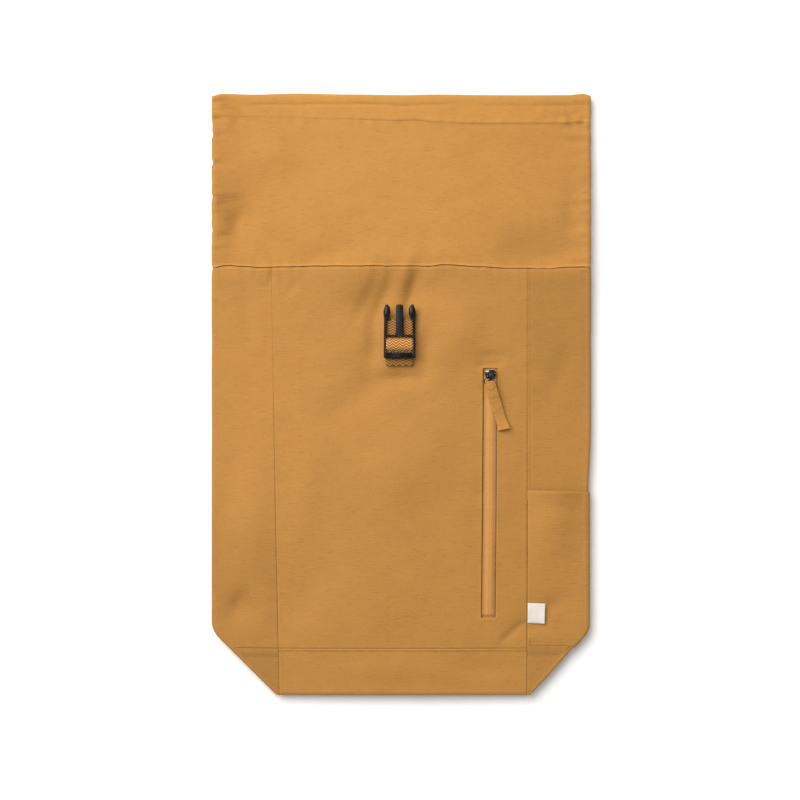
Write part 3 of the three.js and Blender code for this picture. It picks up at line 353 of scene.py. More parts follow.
def seam_out(side, y):
    """Distance of a side seam from the middle line; side is -1 on the left and 1 on the right."""
    lean = SEAM_LEAN * ((y - BOTTOM) / BODY_HEIGHT - 0.5)
    return FRONT_HALF + np.where(side < 0, lean, 0)


def fold_out(side, y):
    """Distance of the outline from the middle line."""
    corner = seam_out(side, BOTTOM) + TOE_TIP
    slope = (HALF_WIDTH - corner) / (GUSSET_DEPTH / 2)
    pocket = POCKET_TOP - BAND_SEAM
    beside = plateau(y - BAND_SEAM - pocket / 2, pocket / 2, pocket / 3)
    side_fold = HALF_WIDTH - np.where(side > 0, (LAY + POCKET_HEM) * beside, 0)
    return rounded_min(side_fold, corner + (y - BOTTOM) * slope, CORNER_ROUND)


def fold_radius(side, y):
    return np.minimum(FOLD_RADIUS, 0.7 * (fold_out(side, y) - seam_out(side, y)))


def mound(dx, dy, turn, long, wide):
    """1 in the middle of an ellipse turned by degrees from +Y, with a soft fall to 0 round it."""
    turn = math.radians(turn)
    along = (dx * math.sin(turn) + dy * math.cos(turn)) / long
    aside = (dx * math.cos(turn) - dy * math.sin(turn)) / wide
    return np.exp(-along * along - aside * aside)


def fold_relief(x, y):
    relief = 0
    front = 2 * FRONT_HALF
    for across, up, turn, long, wide, deep in FOLDS:
        dx, dy = x - across * HALF_WIDTH, y - lerp(BOTTOM, MOUTH, up)
        relief = relief + deep * mound(dx, dy, turn, long * front, wide * front)
    return relief * LOFT


def share_across(x, y):
    side = np.where(x < 0, -1, 1)
    reach = fold_out(side, y) - fold_radius(side, y)
    return np.minimum(np.abs(x) / reach, 1)


def front_height(x, y):
    """Outer face of the front layer without its fine creases."""
    across = share_across(x, y)
    crown = (1 - across**2.4) ** 1.3
    edge = SIDE_LIFT + 2 * FOLD_RADIUS
    return (edge + LOFT * spline(FRONT_FULLNESS, up_share(y)) * crown
            + fold_relief(x, y) * (1 - across**10))


def back_height(x, y):
    """Outer face of the back layer, which lies over the straps and the socket."""
    zone = plateau(x, STRAP_ZONE, HALF_WIDTH - FOLD_RADIUS - STRAP_ZONE)
    rise = (PAD_THICKNESS + LAY - SIDE_LIFT) * spline(BACK_FULLNESS, up_share(y)) * zone
    over_socket = (plateau(x, SOCKET_WIDTH / 2 + SOCKET_MOUND, SOCKET_FADE)
                   * plateau(y - SOCKET_TOP + SOCKET_LENGTH / 2, SOCKET_LENGTH / 2 + SOCKET_MOUND,
                             SOCKET_FADE))
    return SIDE_LIFT + rise + (SOCKET_THICKNESS - PAD_THICKNESS) * over_socket


def zip_x(y):
    return seam_out(1, y) - ZIP_FROM_SEAM - ZIP_LEAN * ((ZIP_TOP - y) / ZIP_LENGTH - 0.5)


# Fine shape of the front: creases, gathers, seams


def dent_relief(x, y):
    relief = 0
    for x0, y0, turn, long, wide, high in DENTS:
        spot = mound(x - x0 * MM, y - y0 * MM, turn, long * MM, wide * MM)
        relief = relief + high * MM * spot
    return relief


def crease_relief(x, y):
    relief = 0
    for x0, y0, x1, y1, width, depth in CREASES:
        run = np.hypot(x1 - x0, y1 - y0) * MM
        ux, uy = (x1 - x0) * MM / run, (y1 - y0) * MM / run
        along = ((x - x0 * MM) * ux + (y - y0 * MM) * uy) / run
        aside = (x - x0 * MM) * uy - (y - y0 * MM) * ux
        ends = smoothstep(along, -0.25, 0.25) * (1 - smoothstep(along, 0.75, 1.25))
        relief = relief + depth * MM * ends * bump(aside, width * MM)
    return relief


def seam_swell(y):
    """The collar's thick seam holds the cloth up; it falls off above and below."""
    above = y - COLLAR_SEAM
    held = 3.2 * MM * np.where(above > 0, bump(above, 120 * MM), bump(above, 62 * MM))
    return held - 2.5 * MM * smoothstep(above, 60 * MM, 200 * MM)


def seam_wander(x, y):
    """How far the cloth beside the collar's seam stands up or down the bag."""
    wobble = 0.3 * MM * ripples(x / (8 * MM), 0.0, 15.5) * bump(y - COLLAR_SEAM, 5 * MM)
    return along_table(SEAM_WANDER, x) * bump(y - COLLAR_SEAM, 26 * MM) + wobble


def gathers(cloth, x, y):
    """Small puckers that run square to the seams and die out away from them."""
    depth = cloth.pucker
    from_collar = np.abs(y - COLLAR_SEAM)
    strong = 1 + 1.4 * bump(x + 140 * MM, 30 * MM) + 1.2 * bump(x - 28 * MM, 12 * MM)
    relief = depth * strong * ripples(x / (7 * MM), y / (60 * MM), 3.1) * np.exp(
        -from_collar / np.where(y < COLLAR_SEAM, 9 * MM, 5 * MM))
    from_hem = np.abs(MOUTH - HEM_HEIGHT - y)
    right_end = 1 + 2 * smoothstep(x, 120 * MM, 200 * MM)
    relief = relief + depth * right_end * ripples(x / (9 * MM), y / (16 * MM), 8.3) * np.exp(
        -from_hem / (9 * MM))
    from_band = np.abs(y - BAND_SEAM)
    relief = relief + 0.6 * depth * ripples(x / (10 * MM), y / (60 * MM), 5.7) * np.exp(
        -from_band / (6 * MM))
    for side in (-1, 1):
        from_seam = np.abs(side * x - seam_out(side, y))
        below = y < COLLAR_SEAM
        relief = relief + np.where(below, 0.5, 0) * depth * ripples(
            x / (60 * MM), y / (9 * MM), 1.7 + side) * np.exp(-from_seam / (5 * MM))
        from_fold = fold_out(side, y) - side * x
        above = smoothstep(y, COLLAR_SEAM - 20 * MM, COLLAR_SEAM + 10 * MM)
        relief = relief + 2.6 * above * depth * ripples(
            x / (50 * MM), y / (6.5 * MM), 6.2 + side) * np.exp(-from_fold / (14 * MM))
    from_zip = np.abs(x - zip_x(y)) - ZIP_WINDOW / 2
    beside_zip = plateau(y - (ZIP_TOP + ZIP_BOTTOM) / 2, ZIP_LENGTH / 2, 10 * MM)
    relief = relief + 0.6 * depth * beside_zip * ripples(
        x / (60 * MM), y / (11 * MM), 4.4) * np.exp(-np.abs(from_zip) / (5 * MM))
    return relief


def tuck_in(side, y):
    """How far the small tucks draw a side fold inwards."""
    drawn = 0
    for tuck_side, place, depth, long in TUCKS:
        drawn = drawn + np.where(side == tuck_side, depth, 0) * MM * bump(y - place * MM, long * MM)
    return drawn


def unevenness(x, y, seed=0.0):
    """The broad, soft waves and small dimples that flat canvas keeps."""
    return (0.7 * MM * ripples(x / (70 * MM), y / (90 * MM), 20 + seed)
            + 0.24 * MM * ripples(x / (24 * MM), y / (17 * MM), 30 + seed)
            + 0.07 * MM * ripples(x / (10 * MM), y / (5.5 * MM), 40 + seed))


def hem_depth(x, y):
    """How far below the hem's sewn line a point of the collar lies; above it, less than 0."""
    waver = 0.8 * MM * ripples(x / (38 * MM), 0.0, 11.5)
    return MOUTH - y - along_table(HEM_LINE, x) - waver


def hem_relief(x, y):
    """The mouth's hem: a soft roll at the edge, a pressed crease and a sewn line."""
    down = MOUTH - y
    below = hem_depth(x, y)
    waver = 1.1 * MM * ripples(x / (42 * MM), 0.0, 13.5)
    pressed = np.clip(0.55 + 0.6 * ripples(x / (36 * MM), 0.5, 12.5), 0, 1.3)
    in_hem = 1 - smoothstep(below, -0.8 * MM, 1.2 * MM)
    roll = 0.6 * MM * bump(down - 5 * MM, 5 * MM)
    crease = -0.9 * MM * pressed * bump(down - 12.4 * MM - waver, 1.8 * MM)
    sewn = -0.5 * MM * lerp(0.2, 1.0, smoothstep(x, -110 * MM, 40 * MM)) * bump(below, 1.3 * MM)
    shoulder = 0.55 * MM * smoothstep(x, 0, 60 * MM) * bump(below + 1.8 * MM, 1.4 * MM)
    return roll + crease + sewn + shoulder + 0.3 * MM * in_hem


def seam_edge(distance, deep=0.3 * MM, reach=1.0 * MM, welt=0.08 * MM):
    """A sewn edge: the cloth rolls down into the seam, behind a low welt."""
    roll = -deep * np.clip(1 - distance / reach, 0, 1) ** 2
    return roll + welt * bump(distance - 1.8 * reach, 1.1 * MM)


def front_fine(cloth, x, y):
    """All the fine shape of the front layer, which fades out round the side folds."""
    across = share_across(x, y)
    fade = 1 - across**24
    fine = cloth.crease * (crease_relief(x, y) + dent_relief(x, y)) + unevenness(x, y)
    return fade * fine + gathers(cloth, x, y) + seam_swell(y)


def front_face(cloth, x, y):
    """Outer face of the front layer with all its fine shape."""
    return front_height(x, y) + front_fine(cloth, x, y)


def wrap_point(cloth, side, y, out, turn, part):
    """A point of a side fold or of the flat cloth beside it.

    part is 0 on the front, 1 round the fold and 2 on the back; out is the distance from the
    middle line on the flat parts, and turn the angle round the fold.
    """
    radius = fold_radius(side, y)
    centre = fold_out(side, y) - radius
    top = front_face(cloth, side * centre, y)
    under = back_height(side * centre, y)
    sine, cosine = np.sin(turn), np.cos(turn)
    pulled = tuck_in(side, y) * sine
    round_x = side * (centre + radius * np.abs(sine) ** FOLD_SHAPE - pulled)
    high = np.sign(cosine) * np.abs(cosine) ** FOLD_SHAPE
    round_z = lerp(under, top, (1 + high) / 2)
    x = np.where(part == 1, round_x, side * out)
    front_z = front_face(cloth, side * out, y)
    z = np.where(part == 0, front_z, np.where(part == 1, round_z, back_height(side * out, y)))
    return x, z


# Meshes


# How much a mesh cell grows for each length that it lies away from a fine end
CELL_GROWTH = 0.28


def graded(length, cell, low=None, high=None):
    """Shares of a length that stand a cell apart, and closer towards an end with a size of its own."""
    far = np.linspace(0, length, 3000)
    from_low = (low or cell) + CELL_GROWTH * far
    from_high = (high or cell) + CELL_GROWTH * (length - far)
    size = np.minimum(cell, np.minimum(from_low, from_high))
    count = np.concatenate([[0], np.cumsum(np.diff(far) / size[:-1])])
    return np.interp(np.linspace(0, count[-1], math.ceil(count[-1]) + 1), count, far) / length


def stations(*runs):
    """The graded shares of several runs in a row: run k takes k to k + 1."""
    places = [np.array([0.0])]
    for k, run in enumerate(runs):
        shares = np.linspace(0, 1, run + 1) if isinstance(run, int) else graded(*run)
        places.append(k + shares[1:])
    return np.concatenate(places)


def along_runs(v, *places):
    """Where stations lie whose runs start and end at these places."""
    return np.interp(v, range(len(places)), places)


def finish_piece(piece, slot, *nodes):
    """Gives a finished mesh its slot's material and smooth shading, ties it to its body and hides the
    frame nodes it stands for.
    """
    piece.data.materials.clear()
    piece.data.materials.append(material(slot))
    for face in piece.data.polygons:
        face.use_smooth = True
    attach(piece, BODY)
    if nodes:
        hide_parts(*nodes)
    return piece


def to_object(name, bm):
    mesh = bpy.data.meshes.new(name)
    bm.to_mesh(mesh)
    bm.free()
    piece = bpy.data.objects.new(name, mesh)
    bpy.context.scene.collection.objects.link(piece)
    return piece


def cloth_sheet(name, across, up, place, wall, hole=None):
    """A wall of cloth, drawn from a flat grid.

    across and up are the stations of the grid's lines. place turns arrays of them into points,
    lengths along the cloth and, where it has any, painted light and wear. hole says which cells are
    left out, and the wall's thickness goes inwards from there.
    """
    bm = bmesh.new()
    lengths = bm.loops.layers.uv.new("cloth")
    bmesh.ops.create_grid(bm, x_segments=len(across) - 1, y_segments=len(up) - 1, size=0.5)
    spots = np.array([vert.co for vert in bm.verts]) + 0.5
    column = np.rint(spots[:, 0] * (len(across) - 1)).astype(int)
    row = np.rint(spots[:, 1] * (len(up) - 1)).astype(int)
    u, v = across[column], up[row]
    points, flat, *rest = place(u, v)
    # The per-point attribute carries painted light and shade as well as wear
    painted_light_and_wear = rest[0] if rest else np.zeros(len(points))
    light_and_wear = bm.verts.layers.float.new("light_and_wear")
    bm.verts.index_update()
    if hole:
        inside = [hole(u[[vert.index for vert in face.verts]].mean(),
                       v[[vert.index for vert in face.verts]].mean()) for face in bm.faces]
        cut = [face for face, gone in zip(bm.faces, inside) if gone]
    for vert, point, amount in zip(bm.verts, points, painted_light_and_wear):
        vert.co = point
        vert[light_and_wear] = amount
    for face in bm.faces:
        for loop in face.loops:
            loop[lengths].uv = flat[loop.vert.index]
    if hole:
        bmesh.ops.delete(bm, geom=cut, context="FACES")
    piece = to_object(name, bm)
    if wall:
        solid = piece.modifiers.new("Wall", "SOLIDIFY")
        solid.thickness = wall
        solid.offset = -1
        solid.use_quality_normals = True
    return piece


def stack(*parts):
    return np.stack(np.broadcast_arrays(*parts), axis=1)


# Materials


class Nodes:
    """A material's node tree, with short calls for the nodes used here."""

    def __init__(self, name):
        self.material = bpy.data.materials.new(name)
        self.material.use_nodes = True
        self.tree = self.material.node_tree
        self.shader = self.tree.nodes["Principled BSDF"]

    def add(self, kind, **values):
        node = self.tree.nodes.new(kind)
        for key, value in values.items():
            if key in node.inputs:
                node.inputs[key].default_value = value
            else:
                setattr(node, key, value)
        return node

    def link(self, start, end):
        self.tree.links.new(start, end)

    def math(self, operation, result, *values):
        """One operation after another, from the first value to the last."""
        for value in values:
            node = self.add("ShaderNodeMath", operation=operation)
            for socket, term in zip(node.inputs, (result, value)):
                if isinstance(term, (int, float)):
                    socket.default_value = term
                else:
                    self.link(term, socket)
            result = node.outputs[0]
        return result

    def weighted(self, *pairs):
        """The sum of values, each times its weight."""
        return self.math("ADD", *[self.math("MULTIPLY", value, weight) for value, weight in pairs])

    def coordinates(self, source, scale, offset=(0, 0, 0)):
        """source is a UV map's name, or Object."""
        if source == "Object":
            start = self.add("ShaderNodeTexCoord").outputs["Object"]
        else:
            start = self.add("ShaderNodeUVMap", uv_map=source).outputs[0]
        mapping = self.add("ShaderNodeMapping")
        mapping.inputs["Scale"].default_value = scale
        mapping.inputs["Location"].default_value = offset
        self.link(start, mapping.inputs["Vector"])
        return mapping.outputs[0]

    def noise(self, source, scale, detail, roughness, offset=(0, 0, 0)):
        node = self.add("ShaderNodeTexNoise", Scale=1.0, Detail=detail, Roughness=roughness)
        self.link(self.coordinates(source, scale, offset), node.inputs["Vector"])
        return node.outputs["Fac"]

    def threads(self, vector, direction):
        """Round threads side by side, one a unit."""
        node = self.add("ShaderNodeTexWave", bands_direction=direction, wave_profile="SIN",
                        Scale=math.pi / 10, Distortion=0.0)
        self.link(vector, node.inputs["Vector"])
        return node.outputs["Fac"]

    def spread(self, value, low, high, to_low=0.0, to_high=1.0):
        node = self.add("ShaderNodeMapRange", clamp=True)
        for key, number in (("From Min", low), ("From Max", high), ("To Min", to_low),
                            ("To Max", to_high)):
            node.inputs[key].default_value = number
        self.link(value, node.inputs["Value"])
        return node.outputs[0]

    def tint(self, color, amount):
        """color times amount, which stands about 1."""
        node = self.add("ShaderNodeVectorMath", operation="SCALE")
        node.inputs[0].default_value = color
        self.link(amount, node.inputs["Scale"])
        return node.outputs[0]

    def painted_light_and_wear(self, shade):
        """shade, made paler or darker by the mesh's painted light and wear."""
        light_and_wear = self.add("ShaderNodeAttribute", attribute_name="light_and_wear").outputs["Fac"]
        return self.math("MULTIPLY", shade, self.math("ADD", self.math("MULTIPLY", light_and_wear, 0.3), 1.0))

    def finish(self, color, shade, roughness, raised, depth, values):
        """Sets up the shader: colour, roughness, fine relief and plain values."""
        bump = self.add("ShaderNodeBump", Distance=depth)
        self.link(raised, bump.inputs["Height"])
        self.link(self.tint(color, shade), self.shader.inputs["Base Color"])
        self.link(roughness, self.shader.inputs["Roughness"])
        self.link(bump.outputs[0], self.shader.inputs["Normal"])
        for key, value in values.items():
            self.shader.inputs[key].default_value = value
        return self.material


def canvas_material(name, color, pitch):
    """Plain-woven cotton canvas: slubs show as fine streaks; painted highlights and some wear pale
    its raised edges, and painted shade darkens its folds and grooves.
    """
    nodes = Nodes(name)
    per = 1 / pitch
    grid = nodes.coordinates("cloth", (per, per, per))
    over = nodes.math("MULTIPLY", nodes.threads(grid, "X"), nodes.threads(grid, "Y"))
    slub_weft = nodes.noise("cloth", (75, 820, 75), 2, 0.65)
    slub_warp = nodes.noise("cloth", (900, 110, 110), 2, 0.6, (3, 5, 0))
    streak = nodes.noise("cloth", (95, 900, 95), 1, 0.5, (7, 1, 0))
    mottle = nodes.noise("cloth", (26, 34, 30), 3, 0.55, (1, 2, 0))
    grain = nodes.noise("cloth", (900, 900, 900), 2, 0.6)
    slub = nodes.math("SUBTRACT", nodes.spread(streak, 0.61, 0.73), nodes.spread(streak, 0.39, 0.27))
    shade = nodes.math("MULTIPLY", nodes.spread(slub_weft, 0.28, 0.74, 0.972, 1.028),
                       nodes.spread(slub_warp, 0.3, 0.72, 0.98, 1.02),
                       nodes.spread(slub, -1, 1, 0.93, 1.08),
                       nodes.spread(mottle, 0.3, 0.7, 0.975, 1.025),
                       nodes.spread(over, 0.0, 0.6, 0.96, 1.035))
    raised = nodes.weighted((over, 0.4), (slub_weft, 0.4), (slub_warp, 0.4), (slub, 0.5), (grain, 0.2))
    return nodes.finish(color, nodes.painted_light_and_wear(shade), nodes.spread(grain, 0.3, 0.7, 0.82, 0.95), raised,
                        0.27 * MM, {"Sheen Weight": 0.05, "Sheen Roughness": 0.5,
                                    "Sheen Tint": (1.0, 0.8, 0.5, 1.0), "Specular IOR Level": 0.4})


def webbing_material(name, color):
    """Herringbone webbing: rows of chevrons along the strip, wherever it turns."""
    nodes = Nodes(name)
    parts = nodes.add("ShaderNodeSeparateXYZ")
    nodes.link(nodes.coordinates("cloth", (1 / (3.7 * MM), 1 / (3 * MM), 1)), parts.inputs[0])
    zigzag = nodes.math("PINGPONG", parts.outputs[0], 1.0)
    slant = nodes.math("ADD", zigzag, parts.outputs[1])
    rib = nodes.spread(nodes.math("PINGPONG", slant, 0.5), 0.08, 0.42)
    fuzz = nodes.noise("cloth", (800, 800, 1), 3, 0.6)
    shade = nodes.math("MULTIPLY", nodes.spread(rib, 0, 1, 0.35, 1.45),
                       nodes.spread(fuzz, 0.3, 0.7, 0.88, 1.12))
    raised = nodes.math("ADD", rib, nodes.math("MULTIPLY", fuzz, 0.4))
    return nodes.finish(color, nodes.painted_light_and_wear(shade), nodes.spread(fuzz, 0.3, 0.7, 0.65, 0.85), raised,
                        0.6 * MM, {"Sheen Weight": 0.08, "Specular IOR Level": 0.2})


def tape_material(name, color):
    """Finely ribbed zip tape with a little gloss."""
    nodes = Nodes(name)
    ribs = nodes.threads(nodes.coordinates("cloth", (1 / (0.9 * MM), 1 / (0.7 * MM), 1)), "Y")
    lines = nodes.threads(nodes.coordinates("cloth", (1 / (1.1 * MM), 1, 1)), "X")
    fuzz = nodes.noise("cloth", (500, 300, 1), 3, 0.6)
    shade = nodes.math("MULTIPLY", nodes.spread(ribs, 0, 1, 0.93, 1.05),
                       nodes.spread(fuzz, 0.3, 0.7, 0.94, 1.06))
    raised = nodes.math("ADD", ribs, nodes.math("MULTIPLY", lines, 0.6))
    return nodes.finish(color, nodes.painted_light_and_wear(shade), nodes.spread(fuzz, 0.3, 0.7, 0.55, 0.75), raised,
                        0.12 * MM, {"Sheen Weight": 0.08, "Specular IOR Level": 0.25})


def plastic_material(name, color):
    """Moulded acetal: fine satin grain, a little paler where it has been handled."""
    nodes = Nodes(name)
    grain = nodes.noise("Object", (2600, 2600, 2600), 2, 0.5)
    handled = nodes.noise("Object", (120, 120, 120), 3, 0.6)
    return nodes.finish(color, nodes.spread(handled, 0.35, 0.75, 0.9, 1.5),
                        nodes.spread(handled, 0.3, 0.7, 0.2, 0.34), grain, 0.03 * MM,
                        {"Specular IOR Level": 0.2})


def metal_material(name, color):
    """Gunmetal plating, brushed along the zip, with pale worn spots that also serve as painted highlights.
    """
    nodes = Nodes(name)
    brushed = nodes.noise("Object", (4200, 500, 4200), 2, 0.6)
    spots = nodes.noise("Object", (330, 330, 330), 2, 0.5)
    return nodes.finish(color, nodes.spread(spots, 0.56, 0.64, 0.8, 9.0),
                        nodes.spread(brushed, 0.3, 0.7, 0.2, 0.36), brushed, 0.02 * MM,
                        {"Metallic": 1.0})


def label_material(name, color):
    """Tightly woven ribbon, left bare."""
    nodes = Nodes(name)
    weft = nodes.threads(nodes.coordinates("cloth", (1 / (0.4 * MM), 1 / (0.4 * MM), 1)), "Y")
    warp = nodes.threads(nodes.coordinates("cloth", (1 / (0.6 * MM), 1 / (0.6 * MM), 1)), "X")
    soil_and_painted_light = nodes.noise("cloth", (160, 160, 1), 3, 0.6)
    shade = nodes.math("MULTIPLY", nodes.spread(weft, 0, 1, 0.95, 1.04),
                       nodes.spread(soil_and_painted_light, 0.3, 0.7, 0.96, 1.03))
    return nodes.finish(color, shade, nodes.spread(soil_and_painted_light, 0.3, 0.7, 0.7, 0.85),
                        nodes.math("ADD", weft, warp), 0.06 * MM, {"Sheen Weight": 0.2})


def floor_material(name, color):
    """Matt white paper."""
    nodes = Nodes(name)
    fibre = nodes.noise("Object", (60, 60, 60), 4, 0.6)
    nodes.link(nodes.tint(color, nodes.spread(fibre, 0.3, 0.7, 0.997, 1.003)),
               nodes.shader.inputs["Base Color"])
    nodes.shader.inputs["Roughness"].default_value = 0.95
    nodes.shader.inputs["Specular IOR Level"].default_value = 0.1
    return nodes.material


def material(slot):
    """The material of one of the record's slots, made on its first use."""
    name = f"backpack_{slot}"
    cloth, fittings = bpy.context.scene.backpack_cloth, bpy.context.scene.backpack_fittings
    if name in bpy.data.materials:
        return bpy.data.materials[name]
    if slot == "canvas":
        return canvas_material(name, cloth.color, cloth.weave)
    make, color = {
        "webbing": (webbing_material, fittings.webbing),
        "zip_tape": (tape_material, fittings.tape),
        "buckle_plastic": (plastic_material, fittings.plastic),
        "dark_metal": (metal_material, fittings.metal),
        "label_cloth": (label_material, fittings.label),
    }[slot]
    return make(name, color)


# The bag's cloth


# Mesh cells at the seams and at the side folds, and how much coarser the back's cells are
FINE = 0.45 * MM
FOLD_CELL = 0.8 * MM
BACK_COARSER = 1.6

# Share of a front edge's relief that the back has, rolled edges, and the rise of the right toe
UNDER_SHARE = 0.4
POCKET_ROLL = 1.0 * MM
COLLAR_ROLL = 1.3 * MM
TOE_RISE = 2.4 * MM
TOE_RISE_REACH = 18 * MM


def front_edges(y):
    """The two ends of the front's width, half a seam in from the side seams."""
    return -seam_out(-1, y) + SEAM / 2, seam_out(1, y) - SEAM / 2


def collar_edge(from_top):
    """The sewn edge under the collar's seam."""
    return seam_edge(from_top, 1.2 * MM, 1.7 * MM, 0.22 * MM)


def rim_wear_and_light(from_top):
    """The cloth under the collar's seam: pale on its welt, partly rubbed and partly a painted highlight,
    with a painted shadow below the collar's edge.
    """
    return 0.35 * bump(from_top - 2.2 * MM, 1.2 * MM) - 0.2 * bump(from_top - 14 * MM, 12 * MM)


def front_panel_piece(cloth):
    """The front, from seam to seam, with the window of the zip."""
    low, high = BAND_SEAM + SEAM / 2, COLLAR_SEAM - SEAM / 2
    cell = cloth.cell
    beside = zip_x(0.0) - ZIP_WINDOW / 2
    across = stations((FRONT_HALF + beside, cell, FINE, FINE), 7,
                      (FRONT_HALF - beside, cell, FINE, FINE))
    up = stations((ZIP_BOTTOM - low, cell, FINE, FINE), (ZIP_LENGTH, cell, FINE, FINE),
                  (high - ZIP_TOP, cell, FINE, FINE))

    def place(u, v):
        y = along_runs(v, low, ZIP_BOTTOM, ZIP_TOP, high)
        left, right = front_edges(y)
        zip_left, zip_right = zip_x(y) - ZIP_WINDOW / 2, zip_x(y) + ZIP_WINDOW / 2
        x = np.where(u < 1, lerp(left, zip_left, u),
                     np.where(u < 2, lerp(zip_left, zip_right, u - 1), lerp(zip_right, right, u - 2)))
        from_top = high - y
        y = y + seam_wander(x, y)
        from_zip = np.maximum(np.maximum(np.abs(x - zip_x(y)) - ZIP_WINDOW / 2,
                                         np.maximum(ZIP_BOTTOM - y, y - ZIP_TOP)), 0)
        faint = lerp(0.6, 0.1, smoothstep(y, -200 * MM, 60 * MM))
        fainter = lerp(1.0, 0.5, smoothstep(y, -100 * MM, 60 * MM))
        z = (front_face(cloth, x, y)
             + seam_edge(x - left, 0.5 * MM * faint, 1.1 * MM, 0.3 * MM * faint)
             + seam_edge(right - x, 0.5 * MM * fainter, 1.2 * MM)
             + seam_edge(y - low, 0.4 * MM) + collar_edge(from_top)
             + seam_edge(from_zip, 0.2 * MM, 0.8 * MM, 0.3 * MM)
             - 0.16 * MM * bump(from_zip - 1.9 * MM, 0.6 * MM))
        # Painted light and wear: the rim's pale welt and painted shadow under the collar, and a painted
        # highlight round the zip's window, where its edge lies in shade
        painted_light_and_wear = (rim_wear_and_light(from_top) + 0.3 * bump(from_zip - 0.9 * MM, 0.7 * MM)
                + 0.1 * bump(from_zip, 0.4 * MM))
        return stack(x, y, z), stack(x, y), painted_light_and_wear

    piece = cloth_sheet("front_panel_canvas", across, up, place, FRONT_WALL,
                        hole=lambda u, v: 1 < u < 2 and 1 < v < 2)
    return finish_piece(piece, "canvas", "front_panel")


def front_band_piece(cloth):
    """The band below the front, with a line of stitching under its seam."""
    low, high = BOTTOM, BAND_SEAM - SEAM / 2
    across = stations((2 * FRONT_HALF, cloth.cell, FINE, FINE))
    up = stations((high - low, cloth.cell, FINE, FINE))

    def place(u, v):
        y = lerp(low, high, v)
        left, right = front_edges(y)
        x = lerp(left, right, u)
        rim = np.clip(1 - (y - low) / (3.5 * MM), 0, 1)
        welt, stitched = high - y - 1.2 * MM, high - y - 3.0 * MM
        z = (front_face(cloth, x, y)
             + seam_edge(x - left, 0.5 * MM, 1.1 * MM, 0.3 * MM)
             + seam_edge(right - x, 0.6 * MM, 1.2 * MM) + seam_edge(high - y, 0.4 * MM, 0.7 * MM)
             + 0.3 * MM * bump(welt, 0.7 * MM) - 0.35 * MM * bump(stitched, 0.8 * MM)
             - 2.2 * MM * rim**2)
        # Painted highlight on the welt under the seam and painted shade in the stitched groove
        painted_light_and_wear = 0.4 * bump(welt, 0.8 * MM) - 0.35 * bump(stitched, 0.7 * MM)
        return stack(x, y, z), stack(x, y), painted_light_and_wear

    piece = cloth_sheet("front_band_canvas", across, up, place, CLOTH)
    return finish_piece(piece, "canvas", "front_band")


def back_sheet(cloth, name, low, high, node):
    """A sheet of the back layer between two heights."""
    across = stations((2 * FRONT_HALF, BACK_COARSER * cloth.cell, FINE, FINE))
    up = stations((high - low, BACK_COARSER * cloth.cell, FINE, FINE))

    def place(u, v):
        y = lerp(low, high, v)
        left, right = front_edges(y)
        x = lerp(right, left, u)
        sunk = (seam_edge(x - left) + seam_edge(right - x) + seam_edge(high - y)
                + seam_edge(y - low))
        z = back_height(x, y) - sunk + 0.2 * MM * np.maximum(unevenness(x, y, 5) / MM, 0)
        return stack(x, y, z), stack(-x, y)

    piece = cloth_sheet(name, across, up, place, CLOTH)
    return finish_piece(piece, "canvas", node)


def fold_out_at(side, y, along):
    """Where a sheet lies that runs from the front seam, round the side fold, to the back seam.

    along runs from 0 to 3. The result is the part for wrap_point, the distance from the middle
    line, the turn and the length along the cloth.
    """
    seam = seam_out(side, y) + SEAM / 2
    radius = fold_radius(side, y)
    bend = fold_out(side, y) - radius
    part = np.where(along < 1, 0, np.where(along > 2, 2, 1))
    out = np.where(along < 1, lerp(seam, bend, along), lerp(bend, seam, np.maximum(along - 2, 0)))
    turn = np.pi * np.clip(along - 1, 0, 1)
    length = np.where(along < 1, out, np.where(along > 2, 2 * bend + np.pi * radius - out,
                                               bend + radius * turn))
    return part, out, turn, length


def wrap_stations(cloth, side):
    """Stations round a side fold: finer at the seams and round the fold."""
    run = GUSSET_DEPTH / 2
    front = (run, cloth.cell, FINE, FOLD_CELL)
    back = (run, BACK_COARSER * cloth.cell, FOLD_CELL, FINE)
    if side > 0:
        return stations(front, 24, back)
    return 3 - stations(front, 24, back)[::-1]


